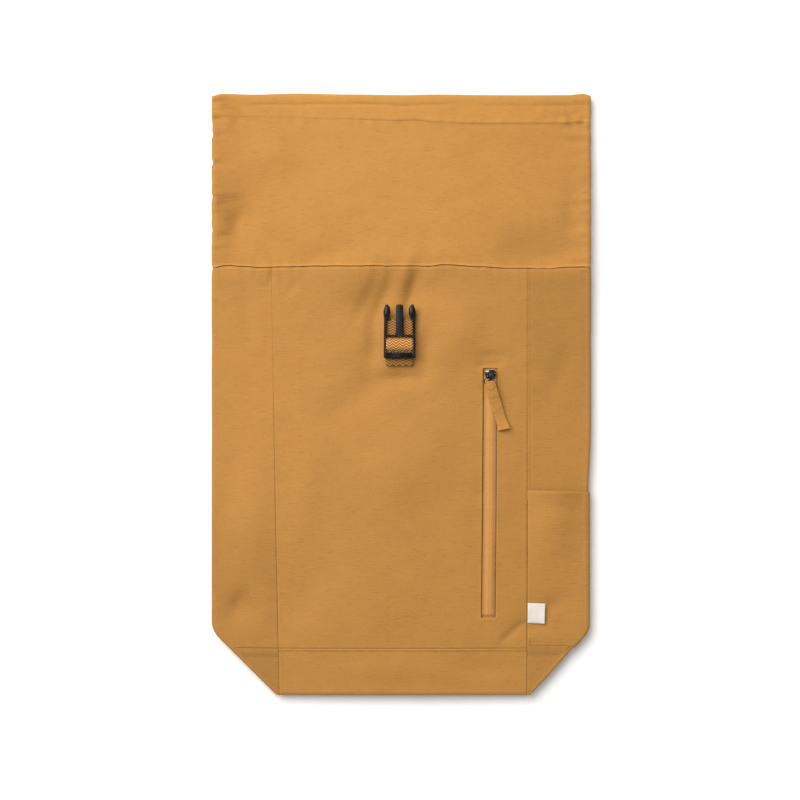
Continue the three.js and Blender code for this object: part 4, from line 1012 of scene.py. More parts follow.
def wrap_sheet(cloth, name, side, low, high, node, to_collar):
    """A gusset or its toe: from the front seam, round the side fold, to the back seam.

    The two sides differ in how faint the front seam gets up the bag, in how dark the fold's painted
    shade is and in the stretch over which the cloth darkens: towards the mouth on the right, and
    towards the bottom on the left.
    """
    across = wrap_stations(cloth, side)
    up = stations((high - low, cloth.cell, FINE, FINE))
    least_seam, fold_dark, darker = ((0.12, 0.95, (80 * MM, 200 * MM)) if side < 0
                                     else (0.4, 0.55, (-60 * MM, 60 * MM)))

    def place(u, v):
        y = lerp(low, high, v)
        part, out, turn, length = fold_out_at(side, y, u if side > 0 else 3 - u)
        seam = seam_out(side, y) + SEAM / 2
        from_top = high - y
        y = y + np.where(part < 2, seam_wander(side * out, y), 0)
        x, z = wrap_point(cloth, side, y, out, turn, part)
        faint = lerp(1.0, least_seam, smoothstep(y, -120 * MM, 60 * MM))
        edge = seam_edge(out - seam, 0.5 * MM * faint, 1.1 * MM)
        # Painted shade round the side fold; the cloth also darkens up or down the gusset
        painted_light_and_wear = -fold_dark * np.sin(turn) ** 4 * (part == 1) - 0.3 * smoothstep(side * y, *darker)
        if to_collar:
            edge = edge + collar_edge(from_top) + seam_edge(y - low, 0.4 * MM)
            painted_light_and_wear = painted_light_and_wear + rim_wear_and_light(from_top) * (part == 0)
            if side > 0:
                edge = edge - 0.3 * MM * bump(out - seam - 2.6 * MM, 0.8 * MM)
        else:
            crease, raised = from_top - 9.5 * MM, max(side, 0) * 0.8 * MM
            edge = (edge + seam_edge(from_top, 0.3 * MM) + raised * bump(from_top, 4 * MM)
                    - 0.9 * MM * bump(crease, 1.8 * MM) + 0.3 * MM * bump(from_top - 5 * MM, 2.5 * MM))
            # The toe's front is darker, with painted shade in its crease
            painted_light_and_wear = painted_light_and_wear - (0.25 + 0.3 * bump(crease, 1.6 * MM)) * (part == 0)
        z = z + np.where(part == 0, edge, np.where(part == 2, -UNDER_SHARE * edge, 0))
        if not to_collar:
            y = y + toe_wander(side, y) * (part < 2)
        return stack(x, y, z), stack(side * length, y), painted_light_and_wear

    piece = cloth_sheet(name, across, up, place, CLOTH)
    return finish_piece(piece, "canvas", node)


def toe_wander(side, y):
    """The right toe's seam, and the pocket's lower edge with it, lies a little above the band's."""
    return np.where(side > 0, TOE_RISE, 0) * bump(y - BAND_SEAM, TOE_RISE_REACH)


def pocket_swell(x, y):
    """How far the pocket's cloth stands off the gusset, beside its seams' lay."""
    seam = seam_out(1, y)
    share = np.clip((x - seam) / (fold_out(1, y) - seam), 0, 1)
    up = np.clip((y - BAND_SEAM) / (POCKET_TOP - BAND_SEAM), 0, 1.1)
    return POCKET_BELLY * np.sin(np.pi * share) * up**2


def pocket_piece(cloth):
    """The side pocket, from seam to seam round the right fold, standing off at its mouth."""
    low, high, roll = BAND_SEAM + SEAM / 2, POCKET_TOP, POCKET_ROLL
    across = wrap_stations(cloth, 1)
    up = stations((high - low, cloth.cell, FINE, FINE), 8, 6)

    def place(u, v):
        y = along_runs(v, low, high - roll, high - roll, high - 12 * MM)
        over = np.pi * np.clip(v - 1, 0, 1)
        part, out, turn, length = fold_out_at(1, y, u)
        seam = seam_out(1, y) + SEAM / 2
        x, z = wrap_point(cloth, 1, y, out, turn, part)
        outside = v < 1.5
        from_top = high - y
        swell = pocket_swell(x, y) * (turn < np.pi / 2)
        lift = lerp(0.4 * MM, 1.1 * MM, smoothstep(y - low, 0, 9 * MM))
        off = LAY + lift + swell - roll * (1 - np.cos(over))
        wrinkle = 0.35 * MM * ripples(out / (30 * MM), y / (24 * MM), 17.0) * (part == 0)
        edge = seam_edge(out - seam, 0.5 * MM, 1.1 * MM) + seam_edge(y - low, 0.4 * MM) * (v < 1)
        pressed = 0.25 * MM * (bump(from_top - 1.6 * MM, 1.4 * MM) - bump(from_top - 7 * MM, 1.0 * MM))
        x = x + off * np.sin(turn) * (part == 1)
        z = z + np.where(part == 0, off + wrinkle + edge + pressed * outside,
                         np.where(part == 2, -off - UNDER_SHARE * edge, off * np.cos(turn)))
        share = np.clip((y - low) / (high - low), 0, 1)
        droop = 2.4 * MM * share**6 * np.clip((x - seam) / (GUSSET_DEPTH / 2), 0, 1)
        # Painted highlight on the pocket's hem and painted shade round the fold
        painted_light_and_wear = (0.35 * bump(from_top - 1.5 * MM, 1.4 * MM) * outside
                - 0.4 * np.sin(turn) ** 4 * (part == 1))
        y = y + roll * np.sin(over) - droop + toe_wander(1, y)
        return stack(x, y, z), stack(length, lerp(low, high, v / 2)), painted_light_and_wear

    piece = cloth_sheet("side_pocket_canvas", across, up, place, POCKET_WALL)
    return finish_piece(piece, "canvas", "side_pocket")


def collar_light_and_wear(x, y, from_seam):
    """Painted light, with some wear: pale on the seam's roll, at the mouth's edge and in the hem; painted
    shade at both sides and along the hem's sewn line.
    """
    below = hem_depth(x, y)
    return (0.45 * bump(from_seam - 1.3 * MM, 1.1 * MM) + 0.25 * bump(MOUTH - y - 3 * MM, 4 * MM)
            - 0.35 * bump(x + 190 * MM, 50 * MM) + 0.2 * smoothstep(-below, 0, 2 * MM)
            - 0.2 * smoothstep(x, -110 * MM, 40 * MM) * bump(below, 1.2 * MM)
            - 0.12 * smoothstep(x, 20 * MM, 190 * MM))


def collar_piece(cloth, face):
    """One layer of the collar with its half of both side folds, hemmed at the mouth."""
    front = face == "front"
    cell = cloth.cell if front else BACK_COARSER * cloth.cell
    low, roll = COLLAR_SEAM + SEAM / 2, COLLAR_ROLL
    across = stations(12, (2 * HALF_WIDTH, cell, FOLD_CELL, FOLD_CELL), 12)
    up = stations((MOUTH - HEM_HEIGHT - low, cell, FINE, 1 * MM),
                  (HEM_HEIGHT, 1.2 * MM if front else cell, None, FINE), 8, (HEM_HEIGHT, 2 * cell, FINE))

    def place(u, v):
        y = along_runs(v, low, MOUTH - HEM_HEIGHT, MOUTH - roll, MOUTH - roll, MOUTH - HEM_HEIGHT)
        over = np.pi * np.clip(v - 2, 0, 1)
        along = u if front else 3 - u
        share = np.clip(np.where(along < 1.5, 1 - along, along - 2), 0, 1)
        folded = (along < 1) | (along > 2)
        turn = share * (np.pi / 2 - 0.01)
        turn = turn if front else np.pi - turn
        radius = fold_radius(1, y)
        reach = fold_out(1, y) - radius
        flat = lerp(-reach, reach, np.clip(along - 1, 0, 1))
        side = np.where(along < 1.5, -1, 1)
        part = np.where(folded, 1, 0 if front else 2)
        x, z = wrap_point(cloth, side, y, np.abs(flat), turn, part)
        x_mid, z_mid = flat, (front_face(cloth, flat, y) if front
                              else back_height(flat, y))
        x, z = np.where(folded, x, x_mid), np.where(folded, z, z_mid)
        from_seam = y - low
        wander = seam_wander(x, y) if front else 0
        sign = 1 if front else -1
        depth = roll * (1 - np.cos(over))
        edge, painted_light_and_wear = 0 * x, 0.3 + 0 * x
        if front:
            edge = (hem_relief(x, y) * (v < 2) + 0.3 * MM * (v >= 2)
                    + 0.75 * MM * bump(from_seam, 1.9 * MM)
                    - 0.3 * MM * np.clip(1 - from_seam / (0.5 * MM), 0, 1))
            painted_light_and_wear = painted_light_and_wear + collar_light_and_wear(x, y, from_seam)
        # Painted shade round the side folds, stronger on the left
        painted_light_and_wear = painted_light_and_wear - np.where(side > 0, 0.6, 1.0) * share**4 * folded
        flat_share = np.where(folded, np.abs(np.cos(turn)), 1)
        z = z + sign * flat_share * (edge - depth)
        x = x - np.where(folded, side * np.sin(turn) * depth, 0)
        y = y + wander + along_table(MOUTH_WANDER, x) * bump(MOUTH - y, 20 * MM) + roll * np.sin(over)
        length = np.where(folded, side * (reach + radius * share * np.pi / 2), flat)
        lay = along_runs(v, low, MOUTH - HEM_HEIGHT, MOUTH, MOUTH + 4 * MM, MOUTH + HEM_HEIGHT)
        return stack(x, y, z), stack(sign * length, lay), painted_light_and_wear

    piece = cloth_sheet(f"collar_{face}_canvas", across, up, place, COLLAR_WALL)
    return finish_piece(piece, "canvas", f"collar_{face}")


def base_piece(cloth):
    """The base, folded inwards between the two bands."""
    depth = GUSSET_DEPTH / 2 - BASE_FOLD_RADIUS
    inside = 2 * CLOTH + LAY
    across = stations((2 * FRONT_HALF, 2 * cloth.cell))
    up = stations(28, 10, 28)

    def place(u, v):
        share = np.where(v < 1, v, np.where(v > 2, 3 - v, 1))
        turn = np.pi * np.clip(v - 1, 0, 1)
        radius = BASE_FOLD_RADIUS - CLOTH / 2
        y = BOTTOM + share * depth + radius * np.sin(turn)
        seam_y = np.minimum(y, BAND_SEAM)
        x = lerp(seam_out(1, seam_y) - GAP, -seam_out(-1, seam_y) + GAP, u)
        over, under = front_height(x, y) - inside, back_height(x, y) + inside
        spread = lerp((over - under) / 2, radius, share)
        lean = np.where(v < 1, 1, np.where(v > 2, -1, np.cos(turn)))
        z = (over + under) / 2 + spread * lean
        return stack(x, y, z), stack(x, lerp(0, 2 * depth, v / 3))

    piece = cloth_sheet("base_canvas", across, up, place, CLOTH)
    return finish_piece(piece, "canvas", "base_panel")


def label_piece(cloth):
    """The woven label, caught in the right seam, its free edge lifted."""
    low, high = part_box("side_label")

    def place(u, v):
        y = lerp(low.y, high.y, v) - 0.8 * MM * u
        x = lerp(low.x, high.x, u) - 0.9 * MM * (1 - v) * u
        z = (front_face(cloth, x, y) + pocket_swell(x, y) + LAY + 2 * MM
             + 2.2 * MM * u * u + 0.2 * MM * ripples(u * 3, v * 3, 2.0))
        return stack(x, y, z), stack(x, y)

    piece = cloth_sheet("label_ribbon", stations(16), stations(16), place, LABEL_WALL)
    return finish_piece(piece, "label_cloth", "side_label")


# The zip


def zip_rise(y):
    """0 at the zip's ends, where the tape lies under the cloth, and 1 between them."""
    return (smoothstep(y - ZIP_BOTTOM - LAY, 0, ZIP_LOW_RAMP)
            * smoothstep(ZIP_TOP - LAY - y, 0, ZIP_RAMP - LAY))


def zip_bulge(y):
    """The tape stands up more in some stretches of the zip than in others."""
    return (1.3 * MM + 0.5 * MM * ripples(y / (60 * MM), 0.3, 9.0)
            + 0.9 * MM * bump(y + 214 * MM, 34 * MM) + 0.7 * MM * bump(y, 30 * MM))


def tape_height(cloth, out, y):
    """Height of the closed tape, out from the middle of the zip: a low arch with steep edges."""
    share = np.abs(out) / (ZIP_WINDOW / 2)
    x = zip_x(y) + out
    arch = zip_bulge(y) * (1 - share**2) - 0.1 * MM - 0.9 * MM * np.clip(share, 0, 1) ** 30
    return front_face(cloth, x, y) + lerp(-TAPE_END_DEPTH, arch, zip_rise(y))


def tape_piece(cloth, side):
    """One half of the zip's tape, arched up towards the coil."""
    edge, far = 0.02 * MM, ZIP_WINDOW / 2 + TAPE_UNDERLAP
    run = ZIP_WINDOW / 2 - edge
    across = stations((run, 0.5 * MM), 4) if side > 0 else 2 - stations((run, 0.5 * MM), 4)[::-1]
    up = stations(3, (ZIP_LENGTH, 1.2 * MM), 3)

    def place(u, v):
        y = along_runs(v, ZIP_BOTTOM - TAPE_UNDERLAP, ZIP_BOTTOM + LAY, ZIP_TOP - LAY,
                       ZIP_TOP + TAPE_UNDERLAP)
        share = u if side > 0 else 2 - u
        out = along_runs(share, edge, edge + run, far)
        ridges = 0.0
        if side > 0:
            tooth = 0.5 + 0.5 * np.cos(2 * np.pi * y / (1.7 * MM))
            ridges = (0.2 * MM * bump(out - 2.0 * MM, 0.5 * MM) * (0.5 + 0.5 * tooth)
                      + 0.14 * MM * bump(out - 3.8 * MM, 0.5 * MM)
                      - 0.1 * MM * bump(out - 5.2 * MM, 0.6 * MM))
        rubbed = 0.06 * MM * ripples(out / (4 * MM), y / (2.6 * MM), 31.0)
        z = tape_height(cloth, out, y) + ridges + rubbed
        # Painted highlight along the tape's arch and painted shadow towards the window's edges
        painted_light_and_wear = 0.8 * bump(out, 4 * MM) - 0.9 * smoothstep(out, 4.5 * MM, 7.5 * MM)
        return stack(zip_x(y) + side * out, y, z), stack(side * out, y), painted_light_and_wear

    name = "left" if side < 0 else "right"
    piece = cloth_sheet(f"zip_tape_{name}_woven", across, up, place, TAPE_WALL)
    return finish_piece(piece, "zip_tape", f"zip_tape_{name}")


def coil_piece(cloth):
    """The closed coil under the tape's edges, its turns as fine ribs."""
    pitch = 1.5 * MM

    def place(u, v):
        y = lerp(ZIP_BOTTOM - TAPE_UNDERLAP, ZIP_TOP + TAPE_UNDERLAP, v)
        share = 2 * u - 1
        ribs = 0.2 * MM * np.cos(2 * np.pi * (y / pitch + 0.5 * (share > 0))) * (1 - share**4)
        z = tape_height(cloth, 0 * y, y) - 1.1 * MM + ribs - 0.4 * MM * share**2
        return stack(zip_x(y) + share * COIL_HALF, y, z), stack(share * COIL_HALF, y)

    up = stations((ZIP_LENGTH + 2 * TAPE_UNDERLAP, 0.5 * MM))
    piece = cloth_sheet("zip_coil_ribbed", stations(6), up, place, COIL_WALL)
    return finish_piece(piece, "zip_tape", "zip_coil")


# Edges that turn by more degrees than this are rounded, and corners this near to an end count
SHARP_ANGLE = 35
NEAR_END = 0.8 * MM


def bevel(bm, edges, offset, segments):
    bmesh.ops.bevel(bm, geom=edges, offset=offset, offset_type="OFFSET", affect="EDGES",
                    segments=segments, profile=0.5, material=-1, clamp_overlap=True)


def merged_copy(node, name, slot, edge, segments, low_corners=None, shift=(0, 0, 0)):
    """A copy of a hard frame piece, its flat faces joined and its edges rounded.

    low_corners is the radius of the two upright edges at its lower end, where they are rounder.
    """
    bm = bmesh.new()
    bm.from_mesh(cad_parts[node].data)
    bmesh.ops.remove_doubles(bm, verts=bm.verts[:], dist=1e-6)
    bmesh.ops.dissolve_limit(bm, angle_limit=math.radians(2), verts=bm.verts[:], edges=bm.edges[:],
                             delimit={"NORMAL"})
    bmesh.ops.translate(bm, verts=bm.verts[:], vec=shift)
    if low_corners:
        low = min(vert.co.y for vert in bm.verts) + NEAR_END
        left = min(vert.co.x for vert in bm.verts) + NEAR_END
        right = max(vert.co.x for vert in bm.verts) - NEAR_END
        posts = [e for e in bm.edges if all(v.co.y < low and not left < v.co.x < right for v in e.verts)
                 and abs(e.verts[0].co.z - e.verts[1].co.z) > 2 * MM]
        bevel(bm, posts, low_corners, 6)
    sharp = [e for e in bm.edges if len(e.link_faces) == 2
             and e.calc_face_angle(0) > math.radians(SHARP_ANGLE)]
    bevel(bm, sharp, edge, segments)
    bmesh.ops.triangulate(bm, faces=[f for f in bm.faces if len(f.verts) > 4])
    return finish_piece(to_object(name, bm), slot, node)


def front_stand(x, low_y, high_y, lift):
    """The place of a fitting on the front: its plane touches the cloth from above."""
    low, high = float(front_height(x, low_y)), float(front_height(x, high_y))
    proud = 0
    for i in range(1, 8):
        y = lerp(low_y, high_y, i / 8)
        proud = max(proud, float(front_height(x, y)) - lerp(low, high, i / 8))
    tilt = math.atan2(high - low, high_y - low_y)
    return (Matrix.Translation((x, (low_y + high_y) / 2, (low + high) / 2 + proud + lift))
            @ Matrix.Rotation(tilt, 4, "X"))


SLIDER_LENGTH = 14.6 * MM
SLIDER_Y = ZIP_TOP - 1.7 * MM - SLIDER_LENGTH / 2
RING_RADIUS = 4.6 * MM
RING_WIRE = 1 * MM
RING_HEIGHT = 4 * MM
RING_TOP_Y = -(4.5 - 1.2) * MM + RING_WIRE + 2 * GAP
PULLER_LENGTH = 55 * MM
PULLER_WIDTH = 11.8 * MM
PULLER_HEIGHTS = (5.4, 5.5, 5.0, 3.4, 1.9, 0.8, 0.8, 0.8)
PULLER_EYE = 5.4 * MM
PULL_TURN = 17
RING_SWING = -48
RING_TILT = 20


def pull_place():
    """Where the ring and its puller hang from the slider, before the ring swings further."""
    half = SLIDER_LENGTH / 2
    stand = front_stand(float(zip_x(SLIDER_Y)), SLIDER_Y - half, SLIDER_Y + half, 0.9 * MM)
    turn = Matrix.Rotation(math.radians(PULL_TURN), 4, "Z")
    return stand @ Matrix.Translation((0, RING_TOP_Y, 0)) @ turn


def ring_piece():
    """The wire ring, spun from a small circle."""
    bm = bmesh.new()
    made = bmesh.ops.create_circle(bm, segments=12, radius=RING_WIRE / 2, cap_ends=False)
    bmesh.ops.rotate(bm, verts=made["verts"], cent=(0, 0, 0),
                     matrix=Matrix.Rotation(math.pi / 2, 3, "X"))
    bmesh.ops.translate(bm, verts=made["verts"], vec=(RING_RADIUS, 0, 0))
    bmesh.ops.spin(bm, geom=bm.edges[:], cent=(0, 0, 0), axis=(0, 0, 1), angle=2 * math.pi, steps=56,
                   use_merge=True)
    bmesh.ops.recalc_face_normals(bm, faces=bm.faces[:])
    place = (pull_place() @ Matrix.Rotation(math.radians(RING_SWING), 4, "Z")
             @ Matrix.Translation((0, -RING_RADIUS, RING_HEIGHT))
             @ Matrix.Rotation(math.radians(RING_TILT), 4, "Y"))
    bmesh.ops.transform(bm, matrix=place, verts=bm.verts[:])
    piece = to_object("zip_ring_wire", bm)
    return finish_piece(piece, "dark_metal", "zip_ring")


def puller_piece():
    """The cloth puller, folded over the ring: its lower end flares and lifts."""
    top = 5 * MM - 2 * RING_RADIUS
    turned = np.array(pull_place())
    shift = np.array([-2.2, -0.8, 0.0]) * MM
    heights = tuple(height * MM for height in PULLER_HEIGHTS)

    def place(u, v):
        along = 1 - v
        down = along * PULLER_LENGTH
        flare = smoothstep(along, 0.8, 1.0)
        x = (u - 0.5) * PULLER_WIDTH * (1 + 0.14 * flare - 0.08 * bump(down, 3 * MM))
        rounded = 1.2 * MM * bump(down, 2 * MM) * (1 - (2 * u - 1) ** 2)
        y = top - down - 1.2 * MM * flare * (u - 0.5) + rounded
        eye = np.hypot(x, down - PULLER_EYE)
        patch = 0.7 * MM * (1 - smoothstep(eye, 3.4 * MM, 4.4 * MM)) - 0.35 * MM * bump(eye, 1.6 * MM)
        lifted = 3.0 * MM * flare * (0.25 + 0.75 * u)
        crown = -0.7 * MM * np.abs(2 * u - 1) ** 4
        creases = (-0.4 * MM * bump(down - 19 * MM - 2 * MM * (u - 0.5), 1.4 * MM)
                   + 0.3 * MM * bump(down - 31 * MM + 3 * MM * (u - 0.5), 3 * MM)
                   + 0.12 * MM * ripples(u * 3, down / (6 * MM), 7.0))
        z = spline(heights, along) + lifted + patch + crown + creases
        points = (turned @ np.stack([x, y, z, np.ones_like(x)]))[:3].T + shift
        # Painted highlight on the lifted lower end and painted shade round the eye; paler along the long
        # edges
        painted_light_and_wear = (0.35 * bump(down - PULLER_LENGTH, 3 * MM) - 0.5 * bump(eye - 3.9 * MM, 0.6 * MM)
                + 0.25 * np.abs(2 * u - 1) ** 6)
        return points, stack(x, y), painted_light_and_wear

    piece = cloth_sheet("zip_puller_canvas", stations(20), stations(90), place, PULLER_WALL)
    return finish_piece(piece, "canvas", "zip_puller")


# Size of the stitches, and how far their lines lie beside the zip's window and the right seam
STITCH_PITCH = 3.2 * MM
STITCH_LENGTH = 2.3 * MM
STITCH_RADIUS = 0.24 * MM
BESIDE_ZIP = 1.5 * MM
BESIDE_SEAM = 2.7 * MM


def stitch_row(bm, points):
    """Sewing thread along a line of points: one small, half-sunk bead for each stitch."""
    points = np.array(points)
    far = np.concatenate([[0], np.cumsum(np.linalg.norm(np.diff(points, axis=0), axis=1))])
    for at in np.arange(STITCH_PITCH / 2, far[-1], STITCH_PITCH):
        before, here, ahead = [Vector([np.interp(at + step, far, points[:, k]) for k in range(3)])
                               for step in (-STITCH_LENGTH / 2, 0, STITCH_LENGTH / 2)]
        turn = (ahead - before).to_track_quat("X", "Z").to_matrix().to_4x4()
        bead = bmesh.ops.create_uvsphere(bm, u_segments=6, v_segments=4, radius=1)
        bmesh.ops.transform(bm, verts=bead["verts"], matrix=Matrix.Translation(here) @ turn
                            @ Matrix.Diagonal((STITCH_LENGTH / 2, STITCH_RADIUS,
                                               0.7 * STITCH_RADIUS, 1)))


def stitch_pieces(cloth):
    """Top-stitching: round the zip, along the right seam, the band and the mouth's hem."""

    def on_front(x, y, lift=0.0):
        x, y = np.broadcast_arrays(np.asarray(x, float), np.asarray(y, float))
        return stack(x, y, front_face(cloth, x, y) + lift)

    bm = bmesh.new()
    line = np.linspace(0, 1, 240)
    reach = ZIP_WINDOW / 2 + BESIDE_ZIP
    for side in (-1, 1):
        y = lerp(ZIP_BOTTOM - BESIDE_ZIP, ZIP_TOP + BESIDE_ZIP, line)
        stitch_row(bm, on_front(zip_x(y) + side * reach, y, -0.1 * MM))
    for y in (ZIP_TOP + BESIDE_ZIP, ZIP_BOTTOM - BESIDE_ZIP, ZIP_BOTTOM - 4.2 * MM):
        x = zip_x(y) + lerp(-1, 1, line[::8]) * reach
        stitch_row(bm, on_front(x, y, -0.1 * MM))
    y = lerp(BAND_SEAM + 3 * MM, COLLAR_SEAM - 2 * MM, line)
    x = seam_out(1, y) + BESIDE_SEAM
    lying = np.where(y < POCKET_TOP - 2 * MM, LAY + 1.1 * MM, 0)
    lying = lying + pocket_swell(x, y) * (y < POCKET_TOP)
    stitch_row(bm, on_front(x, y, lying - 0.3 * MM))
    y = BAND_SEAM - SEAM / 2 - 3.0 * MM
    x = lerp(-seam_out(-1, y) + 2 * MM, seam_out(1, y) - 2 * MM, line)
    stitch_row(bm, on_front(x, y, -0.3 * MM))
    x = lerp(-HALF_WIDTH + 8 * MM, HALF_WIDTH - 8 * MM, line)
    y = MOUTH - along_table(HEM_LINE, x)
    y = y + hem_depth(x, y)
    z = front_face(cloth, x, y) - 0.05 * MM
    stitch_row(bm, stack(x, y + along_table(MOUTH_WANDER, x) * bump(MOUTH - y, 20 * MM), z))
    bmesh.ops.recalc_face_normals(bm, faces=bm.faces[:])
    piece = to_object("top_stitching", bm)
    return finish_piece(piece, "webbing")


# Webbing and buckles


def rounded_path(corners, radius, steps=6):
    """Points of a path of straight runs with rounded corners, in the plane of y and z."""
    corners = [Vector(corner) for corner in corners]
    points = [corners[0]]
    for before, here, after in zip(corners, corners[1:], corners[2:]):
        back, on = before - here, after - here
        start = here + back.normalized() * min(radius, back.length / 2)
        end = here + on.normalized() * min(radius, on.length / 2)
        for i in range(steps + 1):
            t = i / steps
            points.append(start * (1 - t) ** 2 + here * 2 * t * (1 - t) + end * t * t)
    points.append(corners[-1])
    return points


def webbing_piece(name, corners, radius, width, thickness, place, node, soil_and_painted_light=None):
    """Flat webbing whose middle follows corners, points of (y, z).

    The last argument turns lengths along y into painted light and shade.
    """
    points = rounded_path(corners, radius)
    keep = [points[0]]
    for point in points[1:]:
        if (point - keep[-1]).length > 0.05 * MM:
            keep.append(point)
    lengths = [0.0]
    for a, b in zip(keep, keep[1:]):
        lengths.append(lengths[-1] + (b - a).length)
    total = lengths[-1]
    ys, zs = np.array([p[0] for p in keep]), np.array([p[1] for p in keep])
    fine = np.unique(np.concatenate([np.array(lengths) / total,
                                     np.linspace(0, 1, max(2, int(total / (2.5 * MM))))]))
    fine = fine[np.concatenate([[True], np.diff(fine) > 1e-5])]
    across = stations(12)
    turned = np.array(place)

    def at(length):
        return np.interp(length, lengths, ys), np.interp(length, lengths, zs)

    def centre(u, v):
        y, z = at(v * total)
        y1, z1 = at(v * total + 0.4 * MM)
        y0, z0 = at(v * total - 0.4 * MM)
        run = np.hypot(y1 - y0, z1 - z0)
        ny, nz = -(z1 - z0) / run, (y1 - y0) / run
        thin = 0.5 * thickness * (1 - 0.35 * np.abs(2 * u - 1) ** 8)
        x = (u - 0.5) * width
        local = np.stack([x, y + ny * thin, z + nz * thin, np.ones_like(x)])
        return (turned @ local)[:3].T, stack(x, v * total), soil_and_painted_light(y) if soil_and_painted_light else 0 * x

    piece = cloth_sheet(name, across, fine, centre, thickness * 0.98)
    return finish_piece(piece, "webbing", node)


BUCKLE_X = -1.9 * MM
BUCKLE_WIDTH = 35.3 * MM
BUCKLE_THICKNESS = 4.4 * MM
PRONG_LENGTH = 33.6 * MM
TOP_BAR = 1.8 * MM
BUCKLE_WINDOW = 17.8 * MM
LOWER_BAR = 6.6 * MM
CENTRE_BAR = 7 * MM
WEBBING_WIDTH = 30 * MM
WEBBING = 1.5 * MM
BEND_BELOW = 7.3 * MM
BEND_RADIUS = 1.4 * MM
FRAME_LENGTH = TOP_BAR + BUCKLE_WINDOW + LOWER_BAR
LAYER_1 = WEBBING / 2
LAYER_2 = LAYER_1 + WEBBING + GAP
FRAME_Z = LAYER_2 + WEBBING / 2 + GAP
OVER_BAR = FRAME_Z + 1.6 * MM + GAP + WEBBING / 2
BUCKLE_TOP = COLLAR_SEAM - 41.8 * MM
FRAME_TOP = BUCKLE_TOP - PRONG_LENGTH
BUCKLE_SAG = 0.9 * MM
BUCKLE_FACE = FRAME_Z + BUCKLE_THICKNESS
BUCKLE_CORNERS = 3.2 * MM
PRONG_HEAD = (3.9 * MM, 7.6 * MM, 2.0 * MM)
RIB_RADIUS = 0.62 * MM
RIB_PITCH = 1.7 * MM


def buckle_place():
    low = FRAME_TOP - FRAME_LENGTH - BEND_BELOW
    stand = front_stand(BUCKLE_X, low, BUCKLE_TOP, LAY)
    return stand @ Matrix.Translation((0, FRAME_TOP - (low + BUCKLE_TOP) / 2 - BUCKLE_SAG, 0))


def buckle_piece():
    """The pronged half: the frame's plate with rounded edges."""
    return merged_copy("buckle_male", "buckle_male_plate", "buckle_plastic", 0.55 * MM, 3,
                       BUCKLE_CORNERS, (0, -BUCKLE_SAG, 0))


def prong_heads():
    """The domed heads of the two prongs."""
    bm = bmesh.new()
    for side in (-1, 1):
        made = bmesh.ops.create_uvsphere(bm, u_segments=20, v_segments=12, radius=1)
        place = (Matrix.Translation((side * (BUCKLE_WIDTH / 2 - 3.6 * MM), PRONG_LENGTH - 8.2 * MM,
                                     BUCKLE_FACE - 1.2 * MM))
                 @ Matrix.Rotation(math.radians(side * 6), 4, "Z")
                 @ Matrix.Diagonal((*PRONG_HEAD, 1)))
        bmesh.ops.transform(bm, matrix=buckle_place() @ place, verts=made["verts"])
    piece = to_object("buckle_prong_heads", bm)
    return finish_piece(piece, "buckle_plastic")


def buckle_ribs():
    """The three ribs of the lower bar."""
    bm = bmesh.new()
    for i in (1, 2, 3):
        made = bmesh.ops.create_cone(bm, cap_ends=True, segments=10, radius1=RIB_RADIUS,
                                     radius2=RIB_RADIUS, depth=BUCKLE_WIDTH - 8 * MM)
        place = (Matrix.Translation((0, i * RIB_PITCH - FRAME_LENGTH, BUCKLE_FACE - 0.15 * MM))
                 @ Matrix.Rotation(math.pi / 2, 4, "Y"))
        bmesh.ops.transform(bm, matrix=buckle_place() @ place, verts=made["verts"])
    piece = to_object("buckle_ribs", bm)
    return finish_piece(piece, "buckle_plastic")


def buckle_webbing_piece():
    """The loop that holds the buckle; both ends are sewn to the front between the prongs."""
    bar = -TOP_BAR - BUCKLE_WINDOW / 2
    slot = (CENTRE_BAR + BUCKLE_WINDOW) / 4
    corners = (
        (18.7 * MM, LAYER_1),
        (-FRAME_LENGTH - BEND_BELOW, LAYER_1),
        (-FRAME_LENGTH - BEND_BELOW, LAYER_2),
        (bar - slot - BEND_RADIUS, LAYER_2),
        (bar - slot + 0.6 * MM, OVER_BAR - 0.5 * MM),
        (bar - 2.6 * MM, OVER_BAR + 1.3 * MM),
        (bar + 2.6 * MM, OVER_BAR + 1.3 * MM),
        (bar + slot - 0.6 * MM, OVER_BAR - 0.5 * MM),
        (bar + slot + BEND_RADIUS, LAYER_2),
        (16.7 * MM, LAYER_2),
    )

    # Painted light on the webbing: painted shade on the tail below the frame and on the patch between the
    # prongs, and a painted highlight on the roll over the centre bar
    def soil_and_painted_light(y):
        tail = 1 - smoothstep(y, -FRAME_LENGTH - 0.5 * MM, -FRAME_LENGTH + 1 * MM)
        return -1.3 * tail - 0.7 * smoothstep(y, -1 * MM, 1 * MM) + 0.5 * bump(y - bar, 7 * MM)

    return webbing_piece("buckle_webbing_woven", corners, 3.2 * MM, WEBBING_WIDTH, WEBBING,
                         buckle_place(), "buckle_webbing", soil_and_painted_light)


def closure_pieces():
    """The closing strap and the socket half of the buckle, behind the bag."""
    bar, slot = 3.5 * MM, 5.5 * MM
    bar_z, bar_thick = 3 * MM, 1.9 * MM
    high = bar_z + bar_thick + GAP + WEBBING / 2
    low = bar_z - GAP - WEBBING / 2
    loop = bar + slot / 2
    corners = (
        (COLLAR_SEAM - SOCKET_TOP - 8 * MM, high),
        (-loop, high),
        (-loop, low),
        (bar, low),
        (2 * bar + slot, high - WEBBING - GAP),
        (35 * MM, high - WEBBING - GAP),
    )
    place = Matrix.Translation((0, SOCKET_TOP, 0))
    webbing_piece("closure_strap_woven", corners, BEND_RADIUS, WEBBING_WIDTH, WEBBING, place,
                  "closure_strap")
    merged_copy("buckle_female", "buckle_female_shell", "buckle_plastic", 0.6 * MM, 3)


# Shoulder straps


